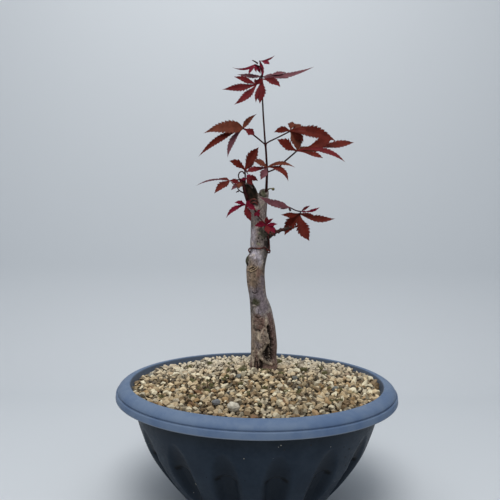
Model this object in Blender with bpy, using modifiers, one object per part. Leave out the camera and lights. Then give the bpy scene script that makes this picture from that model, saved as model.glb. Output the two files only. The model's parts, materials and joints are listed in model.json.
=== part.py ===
"""Japanese maple bonsai, built together with its round fluted pot, at real size.

Run with: blender --background --python part.py, or from the text editor.
Sizes are in millimetres and are scaled to metres where a mesh is made. The pot stands
on z = 0 with its axis at x = y = 0, the front is towards -Y, and +X is to the right.
"""

import math
import random
from collections import namedtuple

import bmesh
import bpy
from mathutils import Vector

MM = 0.001
CLEARANCE = 0.3
WELD_DISTANCE = 0.01
SEED = 7

# Colours of the sub-parts
POT_COLOUR = (0.085, 0.115, 0.155)
GRAVEL_COLOUR = (0.52, 0.43, 0.30)
TRUNK_COLOUR = (0.17, 0.14, 0.12)
STUB_COLOUR = (0.05, 0.035, 0.025)
BOUGH_COLOUR = (0.07, 0.06, 0.03)
SHOOT_COLOUR = (0.04, 0.02, 0.015)
BUD_COLOUR = (0.10, 0.10, 0.04)
WIRE_COLOUR = (0.12, 0.03, 0.02)
CRIMSON = (0.20, 0.01, 0.03)
RED_BROWN = (0.10, 0.02, 0.012)
OLIVE_BROWN = (0.09, 0.04, 0.02)

# Pot: one thin moulded bowl with a rolled rim and a ring of oval flutes
RIM_DIAMETER = 332.0
POT_HEIGHT = 145.0
WALL = 2.6
FLOOR = 3.2
FOOT_ROUNDING = 3.0
BOWL_OUTLINE = ((0.0, 75.0), (20.0, 92.0), (45.0, 112.0), (70.0, 128.0), (95.0, 138.0),
                (110.0, 142.5), (139.0, 148.5))
INNER_ROWS = (18.0, 42.0, 70.0, 97.0, 106.0, 135.0)
OUTER_ROWS = (136.0, 120.0, 106.0, 97.0, 85.0, 70.0, 55.0, 42.0, 31.0, 18.0)
POT_COLUMNS = 80

# Rim: a lip round the mouth, a roll that falls away from it, and an upright skirt below
LIP_RADIUS = 151.25
LIP_ROUNDING = 2.6
LIP_DROP = 3.4
ROLL_WIDTH = 12.5
ROLL_DROP = 8.0
ROLL_STEPS = 3
ROLL_THICKNESS = 5.0
SKIRT_HEIGHT = 15.8
SKIRT_SHOULDER = 0.6
SKIRT_DRAFT = 2.5
SKIRT_RETURN = 6.0
NECK_FLARE = 1.5

# Flutes: oval hollows pressed into the wall
FLUTE_COUNT = 16
FLUTE_FIRST = -81.5
FLUTE_HALF_ANGLE = 6.4
FLUTE_FOOT_HEIGHT = 31.0
FLUTE_HEAD_HEIGHT = 106.0
FLUTE_DEPTH = 3.4
FLUTE_TAPER = 0.75

# Gravel bed: level at the pot's middle, its fall, and the mound that carries the trunk
BED_LEVEL = 141.5
BED_FALL_LEFT = 2.0
BED_RISE_FRONT = 1.5
BED_EDGE_RADIUS = 147.0
BED_RINGS = (12.0, 28.0, 45.0, 62.0, 82.0, 106.0, 128.0)
BED_FLUTE_GAP = FLUTE_DEPTH + 0.6
BED_COLUMNS = 40
SLOPE_RUN = 150.0
MOUND_HEIGHT = 149.0
MOUND_SEAT_RADIUS = 25.0
MOUND_RADIUS = 95.0

# Trunk: height, middle across, middle in depth, width
SOIL = MOUND_HEIGHT
TRUNK_FOOT = (9.0, 45.0)
TRUNK_STATIONS = (
    (SOIL, 9.0, 45.0, 37.5),
    (153.0, 9.0, 45.0, 34.8),
    (164.0, 9.6, 45.0, 33.8),
    (176.0, 10.0, 45.0, 34.0),
    (200.0, 8.5, 45.0, 31.7),
    (217.0, 6.3, 44.5, 28.8),
    (229.0, 4.1, 44.0, 26.0),
    (242.0, 1.0, 43.5, 22.6),
    (259.0, -1.5, 43.0, 23.6),
    (275.0, -2.3, 43.5, 24.0),
    (288.0, -0.6, 44.5, 24.6),
    (299.0, 2.1, 45.0, 24.1),
    (312.0, 3.0, 45.0, 23.9),
    (325.0, 2.2, 45.0, 22.6),
    (342.0, 1.1, 45.5, 20.6),
    (355.0, 0.6, 46.0, 22.6),
    (362.0, 1.8, 46.0, 20.8),
    (369.0, 6.2, 46.0, 14.6),
    (376.0, 7.6, 46.0, 12.6),
    (381.5, 8.2, 46.0, 11.7),
)
TRUNK_SIDES = 24
TRUNK_ROWS = 30

# Marks on the trunk: height, bearing (0 right, -90 front), rise, reach up and down, reach round
Mark = namedtuple("Mark", "height bearing rise reach sweep")
TRUNK_MARKS = (
    Mark(288.0, 190.0, 2.6, 7.0, 34.0),
    Mark(229.0, -10.0, 1.4, 9.0, 40.0),
    Mark(192.0, -88.0, 1.2, 8.0, 22.0),
    Mark(168.0, -76.0, -2.4, 7.0, 16.0),
    Mark(180.0, -108.0, 0.9, 20.0, 14.0),
    Mark(154.0, -140.0, 1.6, 8.0, 26.0),
    Mark(154.0, -20.0, 1.6, 8.0, 26.0),
    Mark(154.0, 95.0, 1.8, 8.0, 30.0),
)

# Groove up the front of the trunk: height and bearing of its two ends
GROOVE_FOOT = (157.0, -49.0)
GROOVE_HEAD = (203.0, -65.0)
GROOVE_DEPTH = 3.6
GROOVE_SWEEP = 14.4
GROOVE_RUN_OUT = 0.4

# Boughs: points along the middle and the radius there
LEFT_BOUGH = (((-2.0, 46.0, 352.0), 8.2), ((-5.5, 46.0, 364.0), 8.4), ((-9.5, 46.0, 372.0), 7.4),
              ((-13.3, 46.0, 380.0), 6.2), ((-17.0, 46.0, 387.5), 4.6))
RIGHT_BOUGH = (((4.0, 44.0, 315.5), 5.6), ((12.0, 43.5, 318.0), 5.4), ((19.0, 43.0, 321.5), 3.9),
               ((26.0, 42.5, 326.5), 2.8), ((36.0, 42.0, 328.5), 2.3), ((47.5, 42.0, 331.0), 2.0))
LEADER = (((10.8, 46.0, 381.5 + CLEARANCE), 1.7), ((11.2, 46.0, 396.0), 1.6), ((11.2, 46.0, 404.0), 2.2),
          ((10.9, 46.0, 412.0), 1.35), ((9.8, 45.5, 428.0), 1.25), ((8.9, 45.0, 437.5), 1.7),
          ((8.0, 45.0, 446.0), 1.2), ((5.1, 44.0, 483.0), 1.0), ((3.6, 44.0, 515.0), 0.9),
          ((3.3, 44.0, 523.0), 1.0))

# Roundness of the tubes: a tube has two more sides than twice this number
STUB_ROUNDNESS = 6
BOUGH_ROUNDNESS = 4
LEADER_ROUNDNESS = 3
TWIG_ROUNDNESS = 2

# Bud on a short twig beside the cut top
BUD_TWIG = ((14.6, 45.0, 380.4), (17.4, 44.6, 381.0))
BUD_TWIG_RADIUS = 0.9
BUD_CENTRE = (19.4, 44.4, 380.2)
BUD_RADIUS = 2.1

# Training wire round the trunk
WIRE_HEIGHT = 301.0
WIRE_RADIUS = 1.0
WIRE_TURNS = 1.12
WIRE_PITCH = 3.4
WIRE_START = 150.0
WIRE_POINTS = 40
WIRE_SLACK = 0.1

# Leaves: every lobe runs from the leaf's heart to a tip that is so far across, away and up,
# with its full width and how far its rib bows to the left of its run
LEAF_THICKNESS = 1.0
EDGE_THICKNESS = 0.45
LEAF_FOLD = 0.22
LEAF_TWIST = 12.0
LOBE_STATIONS = ((0.0, 0.16), (0.2, 0.62), (0.38, 1.0), (0.55, 0.9), (0.74, 0.66), (0.89, 0.3), (1.0, 0.03))
STEM_RADIUS = 0.75
STALK_RADIUS = 0.68
HEART_RADIUS = 1.3
STEM_STEPS = 3
STALK_STEPS = 2
Lobe = namedtuple("Lobe", "across away up width bow")
Leaf = namedtuple("Leaf", "heart facing stalk lobes")
Mass = namedtuple("Mass", "name carrier colour stem leaves")

FACE_ON = (0.0, -1.0, 0.25)
LIFTED = (0.0, -0.34, 0.94)
SLOPING = (0.0, -0.8, 0.6)
SIDE_ON = (0.9, -0.2, 0.35)

CROWN = Mass("crown_leaves", "tip", RED_BROWN, ((3.3, 44.0, 523.0), (3.2, 44.0, 528.0), (3.4, 44.2, 534.0)), (
    Leaf((-3.0, 37.0, 512.0), FACE_ON, ((3.2, 44.0, 529.0), (1.0, 38.5, 524.0)), (
        Lobe(-28, -12, 7, 8.4, -0.6), Lobe(-42, -20, -11, 10.2, 1.2), Lobe(-27, -17, -29, 10.4, 2.6),
        Lobe(2, -12, -26, 10.0, 1.9), Lobe(9, -5, -21, 6.0, 1.6), Lobe(28, -13, -4, 9.6, 3.9),
        Lobe(-3, 8, 12, 2.8, 0.0))),
    Leaf((7.0, 50.0, 529.0), LIFTED, ((3.3, 44.1, 531.0), (5.0, 47.0, 531.0)), (
        Lobe(63, 8, 15, 11.0, -6.0), Lobe(-36, -8, -1, 8.0, 2.0), Lobe(23, -34, -13, 11.8, 0.0),
        Lobe(-12, -34, -14, 10.5, 0.0), Lobe(27, 34, 16, 11.8, 0.0), Lobe(-3, 38, 14, 10.5, 0.0))),
    Leaf((-7.0, 43.0, 542.0), FACE_ON, ((3.4, 44.2, 534.0), (0.5, 43.6, 539.0)), (
        Lobe(-28, -8, -7, 3.6, 5.0), Lobe(-8, -12, -17, 3.6, -1.3), Lobe(3, 10, -8, 3.2, 0.0),
        Lobe(-3, 6, 8, 2.0, 0.0))),
    Leaf((0.0, 47.0, 548.0), FACE_ON, ((3.4, 44.2, 534.0), (3.6, 45.5, 541.0)), (
        Lobe(19, -4, 7, 2.4, -2.9), Lobe(11, -12, -8, 4.8, 1.3), Lobe(6, 12, 5, 2.8, 0.0))),
    Leaf((0.0, 42.0, 532.0), SLOPING, ((3.3, 44.0, 531.0), (2.0, 43.0, 532.0)), (
        Lobe(-15, -3, 7, 3.4, 1.0), Lobe(-9, 7, 5, 2.6, 0.0))),
))
UPPER_LEFT = Mass("upper_left_leaf", "leader", RED_BROWN, (
    (8.9, 45.0, 438.0), (0.0, 44.0, 445.0), (-9.5, 43.0, 452.0), (-21.0, 42.0, 458.0)), (
    Leaf((-21.0, 42.0, 458.0), FACE_ON, (), (
        Lobe(-49, -22, -12, 14.5, -3.9), Lobe(-35, 26, 15, 12.0, -3.9), Lobe(-54, -24, -42, 6.6, -4.5),
        Lobe(-18, -10, -38, 5.8, -4.5), Lobe(17, 14, 22, 6.6, 1.9), Lobe(10, -12, 4, 2.8, 0.0),
        Lobe(12, 12, -4, 9.6, 0.0))),
))
UPPER_RIGHT = Mass("upper_right_leaf", "leader", RED_BROWN, (
    (8.9, 45.0, 438.0), (13.0, 46.0, 442.0), (25.0, 49.0, 448.5), (42.0, 52.0, 457.0)), (
    Leaf((42.0, 52.0, 457.0), FACE_ON, (), (
        Lobe(-21, 14, 2, 7.8, -3.2), Lobe(5, 18, 17, 11.2, 0.0), Lobe(58, -10, -12, 15.0, 5.0),
        Lobe(10, -2, -25, 14.0, 5.5), Lobe(50, 8, -14, 9.0, -3.0), Lobe(40, 34, 13, 10.6, 2.6))),
))
MID_RIGHT = Mass("mid_right_leaf", "leader", OLIVE_BROWN, (
    (11.2, 46.0, 402.0), (25.0, 44.0, 408.0), (34.0, 42.0, 416.0), (48.0, 38.0, 429.0)), (
    Leaf((48.0, 38.0, 429.0), SLOPING, (), (
        Lobe(-24, -14, 12, 13.0, -0.5), Lobe(73, -4, 10, 15.0, 2.4), Lobe(58, -26, -18, 7.4, 10.0),
        Lobe(31, -34, -15, 6.5, 1.5), Lobe(18, 6, 12, 8.0, 1.3))),
))
INNER = Mass("inner_leaf", "leader", OLIVE_BROWN, (
    (11.2, 46.0, 406.5), (11.1, 42.5, 407.0), (11.0, 38.0, 407.0)), (
    Leaf((11.0, 38.0, 407.0), SLOPING, (), (
        Lobe(34, -20, -3, 5.5, 5.2), Lobe(25, -26, -20, 8.0, 7.0), Lobe(-22, -14, 5, 7.0, -2.6),
        Lobe(-21, -24, -7, 6.5, -1.3), Lobe(-24, -20, -15, 6.5, 1.3), Lobe(-8, -14, -17, 6.5, 0.0))),
))
LEFT = Mass("left_leaves", "tip", RED_BROWN, (
    (-17.0, 46.0, 387.5), (-17.1, 46.2, 393.0), (-17.0, 46.6, 399.0), (-17.0, 47.0, 404.0)), (
    Leaf((-17.0, 47.0, 404.0), FACE_ON, (), (
        Lobe(17, 9, 32, 13.0, 1.0), Lobe(-21, -10, 11, 10.0, -2.0), Lobe(15, 18, 13, 8.0, 0.0),
        Lobe(-5, 13, 10, 2.4, 0.0), Lobe(6, 28, -4, 8.0, 0.0))),
    Leaf((-15.0, 43.0, 394.0), FACE_ON, ((-17.1, 46.2, 392.2), (-16.3, 44.6, 393.3)), (
        Lobe(16, 3, -5, 4.4, 2.6), Lobe(8, -9, -11, 5.4, 0.0), Lobe(-7, -6, 2, 3.4, 0.0),
        Lobe(22, 10, -7, 2.2, 2.0))),
    Leaf((-37.0, 44.0, 390.0), SLOPING, ((-17.1, 46.1, 391.2), (-28.0, 45.0, 391.8)), (
        Lobe(-40, -12, -8, 2.6, -4.6), Lobe(-19, -18, -19, 9.8, -1.0), Lobe(11, 10, -6, 8.4, 0.0),
        Lobe(1, 22, -10, 5.0, 0.0), Lobe(-16, 26, 7, 7.5, 0.0))),
))
SMALL_LEFT = Mass("small_left_leaf", "trunk", CRIMSON, (
    (0.4, 46.0, 358.0), (-10.0, 35.0, 358.5), (-16.0, 29.0, 358.0)), (
    Leaf((-16.0, 29.0, 358.0), FACE_ON, (), (
        Lobe(-14, -8, 3, 4.2, -1.3), Lobe(-30, -15, -18, 4.5, -4.5), Lobe(6, -4, -18, 7.0, -0.5),
        Lobe(14, -8, -8, 4.0, 1.3))),
))
FRONT = Mass("front_leaf", "trunk", CRIMSON, ((2.0, 45.0, 331.0), (6.0, 30.0, 334.0), (8.0, 25.0, 336.0)), (
    Leaf((8.0, 25.0, 336.0), FACE_ON, (), (
        Lobe(-14, -6, -3, 4.2, -1.3), Lobe(1, -1, 9, 2.8, 0.0), Lobe(9, -4, 9, 2.2, 1.0),
        Lobe(14, -8, 2, 3.0, 0.0), Lobe(12, -9, -11, 6.4, 1.3), Lobe(2, -13, -10, 5.2, 0.0))),
))
BACK = Mass("back_leaf", "trunk", RED_BROWN, ((1.0, 45.0, 344.0), (3.0, 62.0, 347.0), (2.0, 72.0, 352.0)), (
    Leaf((2.0, 72.0, 352.0), SIDE_ON, (), (
        Lobe(-5, 32, -7, 8.5, 0.0), Lobe(6, 27, 14, 7.5, 0.0), Lobe(-4, 10, 24, 6.5, 0.0),
        Lobe(5, 24, -24, 7.5, 0.0), Lobe(-3, 6, -26, 6.0, 0.0))),
))
LOW_RIGHT = Mass("low_right_leaves", "tip", RED_BROWN, (
    (47.5, 42.0, 331.0), (51.0, 42.0, 332.0), (53.5, 43.0, 340.0), (54.0, 44.0, 348.0)), (
    Leaf((54.0, 44.0, 348.0), FACE_ON, (), (
        Lobe(-25, -18, -1, 5.2, 2.0), Lobe(-17, 9, -27, 13.0, -1.5), Lobe(11, -15, -34, 14.0, -2.0),
        Lobe(45, -12, -6, 8.6, -3.9), Lobe(28, 28, 2, 9.0, 0.0), Lobe(-7, 28, -9, 9.1, 0.0))),
    Leaf((56.0, 40.0, 352.0), FACE_ON, ((54.0, 43.8, 347.0), (55.0, 42.0, 350.5)), (
        Lobe(10, -6, 5, 2.2, 0.0), Lobe(23, -9, 4, 3.2, -3.2))),
    Leaf((41.0, 34.0, 356.0), SLOPING, ((55.8, 40.2, 351.8), (49.0, 37.0, 352.5)), (
        Lobe(-40, -16, 13, 8.5, 1.9), Lobe(-14, -8, -4, 3.2, 0.0), Lobe(0, 8, -6, 4.2, 0.0),
        Lobe(-19, 8, 11, 6.0, 1.3))),
))
MASSES = (CROWN, UPPER_LEFT, UPPER_RIGHT, MID_RIGHT, INNER, LEFT, SMALL_LEFT, FRONT, BACK, LOW_RIGHT)


def clear_scene():
    """Empty the scene before the model is made."""
    for item in list(bpy.data.objects):
        bpy.data.objects.remove(item, do_unlink=True)


def new_collection(name):
    """A collection under the scene's own."""
    made = bpy.data.collections.new(name)
    bpy.context.scene.collection.children.link(made)
    return made


def paint(name, colour, roughness, metallic=0.0):
    """A Principled material in one colour."""
    material = bpy.data.materials.new(name)
    material.use_nodes = True
    shader = material.node_tree.nodes["Principled BSDF"]
    shader.inputs["Base Color"].default_value = (*colour, 1.0)
    shader.inputs["Roughness"].default_value = roughness
    shader.inputs["Metallic"].default_value = metallic
    material.diffuse_color = (*colour, 1.0)
    return material


def add_object(name, mesh, material, home):
    """Link a mesh as a named object with its material."""
    mesh.name = name
    mesh.materials.clear()
    mesh.materials.append(material)
    item = bpy.data.objects.new(name, mesh)
    home.objects.link(item)
    return item


def evaluated_mesh(item):
    """The mesh that an object shows once its modifiers or its curve settings have run."""
    depsgraph = bpy.context.evaluated_depsgraph_get()
    depsgraph.update()
    return bpy.data.meshes.new_from_object(item.evaluated_get(depsgraph))


def smooth_value(table, at):
    """Read a smooth curve through (place, value, ...) rows at one place."""
    last = len(table) - 1
    index = 0
    while index < last - 1 and table[index + 1][0] < at:
        index += 1
    low = table[index]
    high = table[index + 1]
    share = min(max((at - low[0]) / (high[0] - low[0]), 0.0), 1.0)
    before = table[max(index - 1, 0)]
    after = table[min(index + 2, last)]
    square = share * share
    cube = square * share
    result = []
    for column in range(1, len(low)):
        slope_low = (high[column] - before[column]) / (high[0] - before[0]) * (high[0] - low[0])
        slope_high = (after[column] - low[column]) / (after[0] - low[0]) * (high[0] - low[0])
        value = (2 * cube - 3 * square + 1) * low[column]
        value += (cube - 2 * square + share) * slope_low
        value += (3 * square - 2 * cube) * high[column]
        value += (cube - square) * slope_high
        result.append(value)
    return result


def loft(name, rings):
    """A closed skin over rings of equal count, capped flat at both ends."""
    shell = bmesh.new()
    rows = [[shell.verts.new(Vector(point) * MM) for point in ring] for ring in rings]
    count = len(rows[0])
    for lower, upper in zip(rows, rows[1:]):
        for k in range(count):
            follow = (k + 1) % count
            shell.faces.new((lower[k], lower[follow], upper[follow], upper[k]))
    shell.faces.new(list(reversed(rows[0])))
    shell.faces.new(rows[-1])
    bmesh.ops.recalc_face_normals(shell, faces=shell.faces)
    mesh = bpy.data.meshes.new(name)
    shell.to_mesh(mesh)
    shell.free()
    return mesh


def rod(name, path, radii, roundness):
    """A tube with filled caps along a path, its radius given at each point."""
    curve = bpy.data.curves.new(name, "CURVE")
    curve.dimensions = "3D"
    curve.bevel_depth = MM
    curve.bevel_resolution = roundness - 1
    curve.use_fill_caps = True
    spline = curve.splines.new("POLY")
    spline.points.add(len(path) - 1)
    for point, place, radius in zip(spline.points, path, radii):
        point.co = (*(Vector(place) * MM), 1.0)
        point.radius = radius
    item = bpy.data.objects.new(name, curve)
    bpy.context.scene.collection.objects.link(item)
    mesh = evaluated_mesh(item)
    bpy.data.objects.remove(item, do_unlink=True)
    bpy.data.curves.remove(curve)
    tube = bmesh.new()
    tube.from_mesh(mesh)
    bmesh.ops.remove_doubles(tube, verts=tube.verts, dist=WELD_DISTANCE * MM)
    bmesh.ops.recalc_face_normals(tube, faces=tube.faces)
    tube.to_mesh(mesh)
    tube.free()
    return mesh


def curved(points, steps):
    """Points along a smooth curve through the given ones, evenly spaced in number."""
    rows = [(index, *point) for index, point in enumerate(points)]
    spans = (len(points) - 1) * steps
    return [Vector(smooth_value(rows, k / steps)) for k in range(spans + 1)]


def shaped(stations, steps):
    """Smooth middle points and radii along a limb."""
    rows = [(index, *point, radius) for index, (point, radius) in enumerate(stations)]
    spans = (len(stations) - 1) * steps
    values = [smooth_value(rows, k / steps) for k in range(spans + 1)]
    return [Vector(value[:3]) for value in values], [value[3] for value in values]


def ball(name, centre, radius, subdivisions):
    """A small round solid."""
    shell = bmesh.new()
    bmesh.ops.create_icosphere(shell, subdivisions=subdivisions, radius=radius * MM)
    bmesh.ops.translate(shell, verts=shell.verts, vec=Vector(centre) * MM)
    mesh = bpy.data.meshes.new(name)
    shell.to_mesh(mesh)
    shell.free()
    return mesh


def fuse(name, pieces, material, home):
    """Join overlapping pieces into one closed body with one union on their collection."""
    parts = bpy.data.collections.new(name + "_parts")
    bpy.context.scene.collection.children.link(parts)
    base = add_object(name + "_base", pieces[0], material, home)
    for index, mesh in enumerate(pieces[1:]):
        add_object(f"{name}_piece_{index}", mesh, material, parts)
    union = base.modifiers.new("Joined", "BOOLEAN")
    union.operation = "UNION"
    union.solver = "MANIFOLD"
    union.operand_type = "COLLECTION"
    union.collection = parts
    joined = evaluated_mesh(base)
    bpy.data.objects.remove(base, do_unlink=True)
    for item in list(parts.objects):
        bpy.data.objects.remove(item, do_unlink=True)
    bpy.data.collections.remove(parts)
    return add_object(name, joined, material, home)


def outer_radius(height):
    """Outside of the bowl, without its flutes."""
    return smooth_value(BOWL_OUTLINE, height)[0]


def inner_radius(height):
    """Inside of the bowl: one wall thickness in, measured square to the wall."""
    slope = (outer_radius(height + 1.0) - outer_radius(height - 1.0)) / 2.0
    return outer_radius(height) - WALL * math.hypot(slope, 1.0)


def flute_push(bearing, height):
    """How far the wall is pressed in, in an oval hollow at each flute."""
    if not FLUTE_FOOT_HEIGHT < height < FLUTE_HEAD_HEIGHT:
        return 0.0
    spacing = 360.0 / FLUTE_COUNT
    offset = abs((bearing - FLUTE_FIRST + spacing / 2.0) % spacing - spacing / 2.0)
    rise = (height - FLUTE_FOOT_HEIGHT) / (FLUTE_HEAD_HEIGHT - FLUTE_FOOT_HEIGHT)
    half_angle = FLUTE_HALF_ANGLE * math.sqrt(math.sin(math.pi * rise ** FLUTE_TAPER))
    if offset >= half_angle:
        return 0.0
    return FLUTE_DEPTH * (1.0 - (offset / half_angle) ** 2)


def turned(name, profile, columns, home):
    """Turn an outline of (radius, height) round the pot's axis, with a column on a flute's middle."""
    lead = math.radians(FLUTE_FIRST % (360.0 / columns))
    points = [(radius * math.cos(lead) * MM, radius * math.sin(lead) * MM, height * MM)
              for radius, height in profile]
    mesh = bpy.data.meshes.new(name)
    mesh.from_pydata(points, [(k, k + 1) for k in range(len(points) - 1)], [])
    item = bpy.data.objects.new(name, mesh)
    home.objects.link(item)
    screw = item.modifiers.new("Turned", "SCREW")
    screw.axis = "Z"
    screw.angle = math.tau
    screw.steps = columns
    screw.render_steps = columns
    screw.use_merge_vertices = True
    screw.merge_threshold = WELD_DISTANCE * MM
    solid = evaluated_mesh(item)
    bpy.data.objects.remove(item, do_unlink=True)
    return solid


def press_flutes(mesh):
    """Press the flutes into the vertices that lie on the bowl's wall, inside and out."""
    for vertex in mesh.vertices:
        reach = math.hypot(vertex.co.x, vertex.co.y)
        height = vertex.co.z / MM
        if height < FLUTE_FOOT_HEIGHT or reach / MM < inner_radius(height) - 1.0:
            continue
        bearing = math.degrees(math.atan2(vertex.co.y, vertex.co.x))
        share = 1.0 - flute_push(bearing, height) * MM / reach
        vertex.co.x *= share
        vertex.co.y *= share


def rim_profile():
    """The rim's outline, from the lip over the roll, down the skirt and back under to the neck."""
    rim = RIM_DIAMETER / 2.0
    crease = LIP_RADIUS + ROLL_WIDTH
    skirt_foot = POT_HEIGHT - SKIRT_HEIGHT
    outline = [(LIP_RADIUS - LIP_ROUNDING, POT_HEIGHT - LIP_DROP), (LIP_RADIUS, POT_HEIGHT)]
    for step in range(1, ROLL_STEPS + 1):
        turn = math.pi / 2.0 * step / ROLL_STEPS
        drop = ROLL_DROP * (1.0 - math.cos(turn))
        outline.append((LIP_RADIUS + ROLL_WIDTH * math.sin(turn), POT_HEIGHT - drop))
    outline.append((crease + SKIRT_SHOULDER, POT_HEIGHT - ROLL_DROP - SKIRT_SHOULDER))
    outline.append((rim, skirt_foot))
    outline.append((rim - WALL, skirt_foot))
    outline.append((rim - WALL - SKIRT_DRAFT, skirt_foot + SKIRT_RETURN))
    outline.append((crease - ROLL_THICKNESS, POT_HEIGHT - ROLL_THICKNESS))
    outline.append((outer_radius(OUTER_ROWS[0]) + NECK_FLARE, POT_HEIGHT - ROLL_THICKNESS))
    return outline


def make_pot(home):
    """The bowl: inner floor and wall, rim, outer wall and flat underside."""
    inner_foot = inner_radius(FLOOR + FOOT_ROUNDING) - FOOT_ROUNDING
    profile = [(0.0, FLOOR), (inner_foot, FLOOR)]
    profile += [(inner_radius(height), height) for height in INNER_ROWS]
    profile += rim_profile()
    profile += [(outer_radius(height), height) for height in OUTER_ROWS]
    profile += [(outer_radius(FOOT_ROUNDING), FOOT_ROUNDING), (outer_radius(0.0) - 1.0, 0.0), (0.0, 0.0)]
    mesh = turned("pot", profile, POT_COLUMNS, home)
    press_flutes(mesh)
    add_object("pot", mesh, paint("pot_plastic", POT_COLOUR, 0.42), home)
    mesh.shade_smooth()
    mesh.set_sharp_from_angle(angle=math.radians(35.0))


def bed_height(x, y):
    """Top of the gravel: nearly level, with a mound that ends in a flat seat for the trunk."""
    level = BED_LEVEL + (BED_FALL_LEFT * x - BED_RISE_FRONT * y) / SLOPE_RUN
    away = math.hypot(x - TRUNK_FOOT[0], y - TRUNK_FOOT[1])
    share = min(max((away - MOUND_SEAT_RADIUS) / (MOUND_RADIUS - MOUND_SEAT_RADIUS), 0.0), 1.0)
    blend = share * share * (3.0 - 2.0 * share)
    seat = MOUND_HEIGHT - CLEARANCE
    return seat + (level - seat) * blend


def make_gravel(home):
    """The bed of gravel that fills the bowl, clear of the wall and of the flutes in it."""
    profile = [(radius, BED_LEVEL) for radius in (0.0, *BED_RINGS, BED_EDGE_RADIUS)]
    for height in reversed(INNER_ROWS):
        gap = 2 * CLEARANCE if height > FLUTE_HEAD_HEIGHT else BED_FLUTE_GAP
        profile.append((inner_radius(height) - gap, height))
    base = FLOOR + CLEARANCE
    base_radius = inner_radius(FLOOR + FOOT_ROUNDING) - FOOT_ROUNDING - BED_FLUTE_GAP
    profile += [(base_radius, base), (0.0, base)]
    mesh = turned("gravel_bed", profile, BED_COLUMNS, home)
    for vertex in mesh.vertices:
        if vertex.co.z > (BED_LEVEL - 1.0) * MM:
            vertex.co.z = bed_height(vertex.co.x / MM, vertex.co.y / MM) * MM
    add_object("gravel_bed", mesh, paint("gravel", GRAVEL_COLOUR, 0.9), home)


def turn_between(first, second):
    """Smallest turn between two bearings, in degrees."""
    return abs((first - second + 180.0) % 360.0 - 180.0)


def trunk_reach(height, bearing):
    """How far the bark lies from the trunk's middle, with its marks and its groove."""
    reach = smooth_value(TRUNK_STATIONS, height)[2] / 2.0
    for mark in TRUNK_MARKS:
        rise = 1.0 - ((height - mark.height) / mark.reach) ** 2
        turn = 1.0 - (turn_between(bearing, mark.bearing) / mark.sweep) ** 2
        if rise > 0.0 and turn > 0.0:
            reach += mark.rise * rise * turn
    along = (height - GROOVE_FOOT[0]) / (GROOVE_HEAD[0] - GROOVE_FOOT[0])
    if 0.0 < along < 1.0:
        line = GROOVE_FOOT[1] + (GROOVE_HEAD[1] - GROOVE_FOOT[1]) * along
        turn = max(1.0 - turn_between(bearing, line) / GROOVE_SWEEP, 0.0)
        reach -= GROOVE_DEPTH * turn * math.sin(math.pi * along) ** GROOVE_RUN_OUT
    return reach


def trunk_point(height, bearing, extra):
    """A point that lies so far outside the bark."""
    middle_x, middle_y, _ = smooth_value(TRUNK_STATIONS, height)
    reach = trunk_reach(height, bearing) + extra
    turn = math.radians(bearing)
    return Vector((middle_x + reach * math.cos(turn), middle_y + reach * math.sin(turn), height))


def trunk_mesh(name, extra=0.0):
    """The trunk from its flat foot to the flat cut above the fork."""
    top = TRUNK_STATIONS[-1][0]
    rings = []
    for row in range(TRUNK_ROWS + 1):
        height = SOIL + (top - SOIL) * row / TRUNK_ROWS
        rings.append([trunk_point(height, 360.0 * k / TRUNK_SIDES, extra) for k in range(TRUNK_SIDES)])
    for point in rings[-1]:
        point.z += extra
    return loft(name, rings)


def cut_clear(item, cutter):
    """Cut an object back from a neighbour's clearance shape."""
    cut = item.modifiers.new("Clear of the trunk", "BOOLEAN")
    cut.operation = "DIFFERENCE"
    cut.solver = "EXACT"
    cut.object = cutter


def make_limb(name, stations, steps, roundness, material, home):
    """A tapering limb."""
    path, radii = shaped(stations, steps)
    return add_object(name, rod(name, path, radii, roundness), material, home)


def make_trunk_and_boughs(home, cutters):
    """The trunk, the two boughs cut to sit against it, and the leader on the cut top."""
    bark = paint("trunk_bark", TRUNK_COLOUR, 0.85)
    add_object("trunk", trunk_mesh("trunk"), bark, home)
    clearance = add_object("trunk_clearance", trunk_mesh("trunk_clearance", CLEARANCE), bark, cutters)
    clearance.hide_render = True
    clearance.display_type = "WIRE"
    stub_bark = paint("left_bough_bark", STUB_COLOUR, 0.85)
    bough_bark = paint("right_bough_bark", BOUGH_COLOUR, 0.8)
    shoot_bark = paint("leader_bark", SHOOT_COLOUR, 0.7)
    left = make_limb("left_bough", LEFT_BOUGH, 2, STUB_ROUNDNESS, stub_bark, home)
    right = make_limb("low_right_bough", RIGHT_BOUGH, 2, BOUGH_ROUNDNESS, bough_bark, home)
    make_limb("leader", LEADER, 1, LEADER_ROUNDNESS, shoot_bark, home)
    cut_clear(left, clearance)
    cut_clear(right, clearance)


def leader_clearance(point):
    """How far a point lies outside the leader."""
    nearest = math.inf
    for (low, low_radius), (high, high_radius) in zip(LEADER, LEADER[1:]):
        run = Vector(high) - Vector(low)
        share = min(max((point - Vector(low)).dot(run) / run.length_squared, 0.0), 1.0)
        radius = low_radius + (high_radius - low_radius) * share
        nearest = min(nearest, (point - Vector(low) - run * share).length - radius)
    return nearest


def trunk_clearance(point):
    """How far a point lies outside the trunk, measured level from its middle."""
    middle_x, middle_y, _ = smooth_value(TRUNK_STATIONS, point.z)
    away = Vector((point.x - middle_x, point.y - middle_y))
    return away.length - trunk_reach(point.z, math.degrees(math.atan2(away.y, away.x)))


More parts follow.
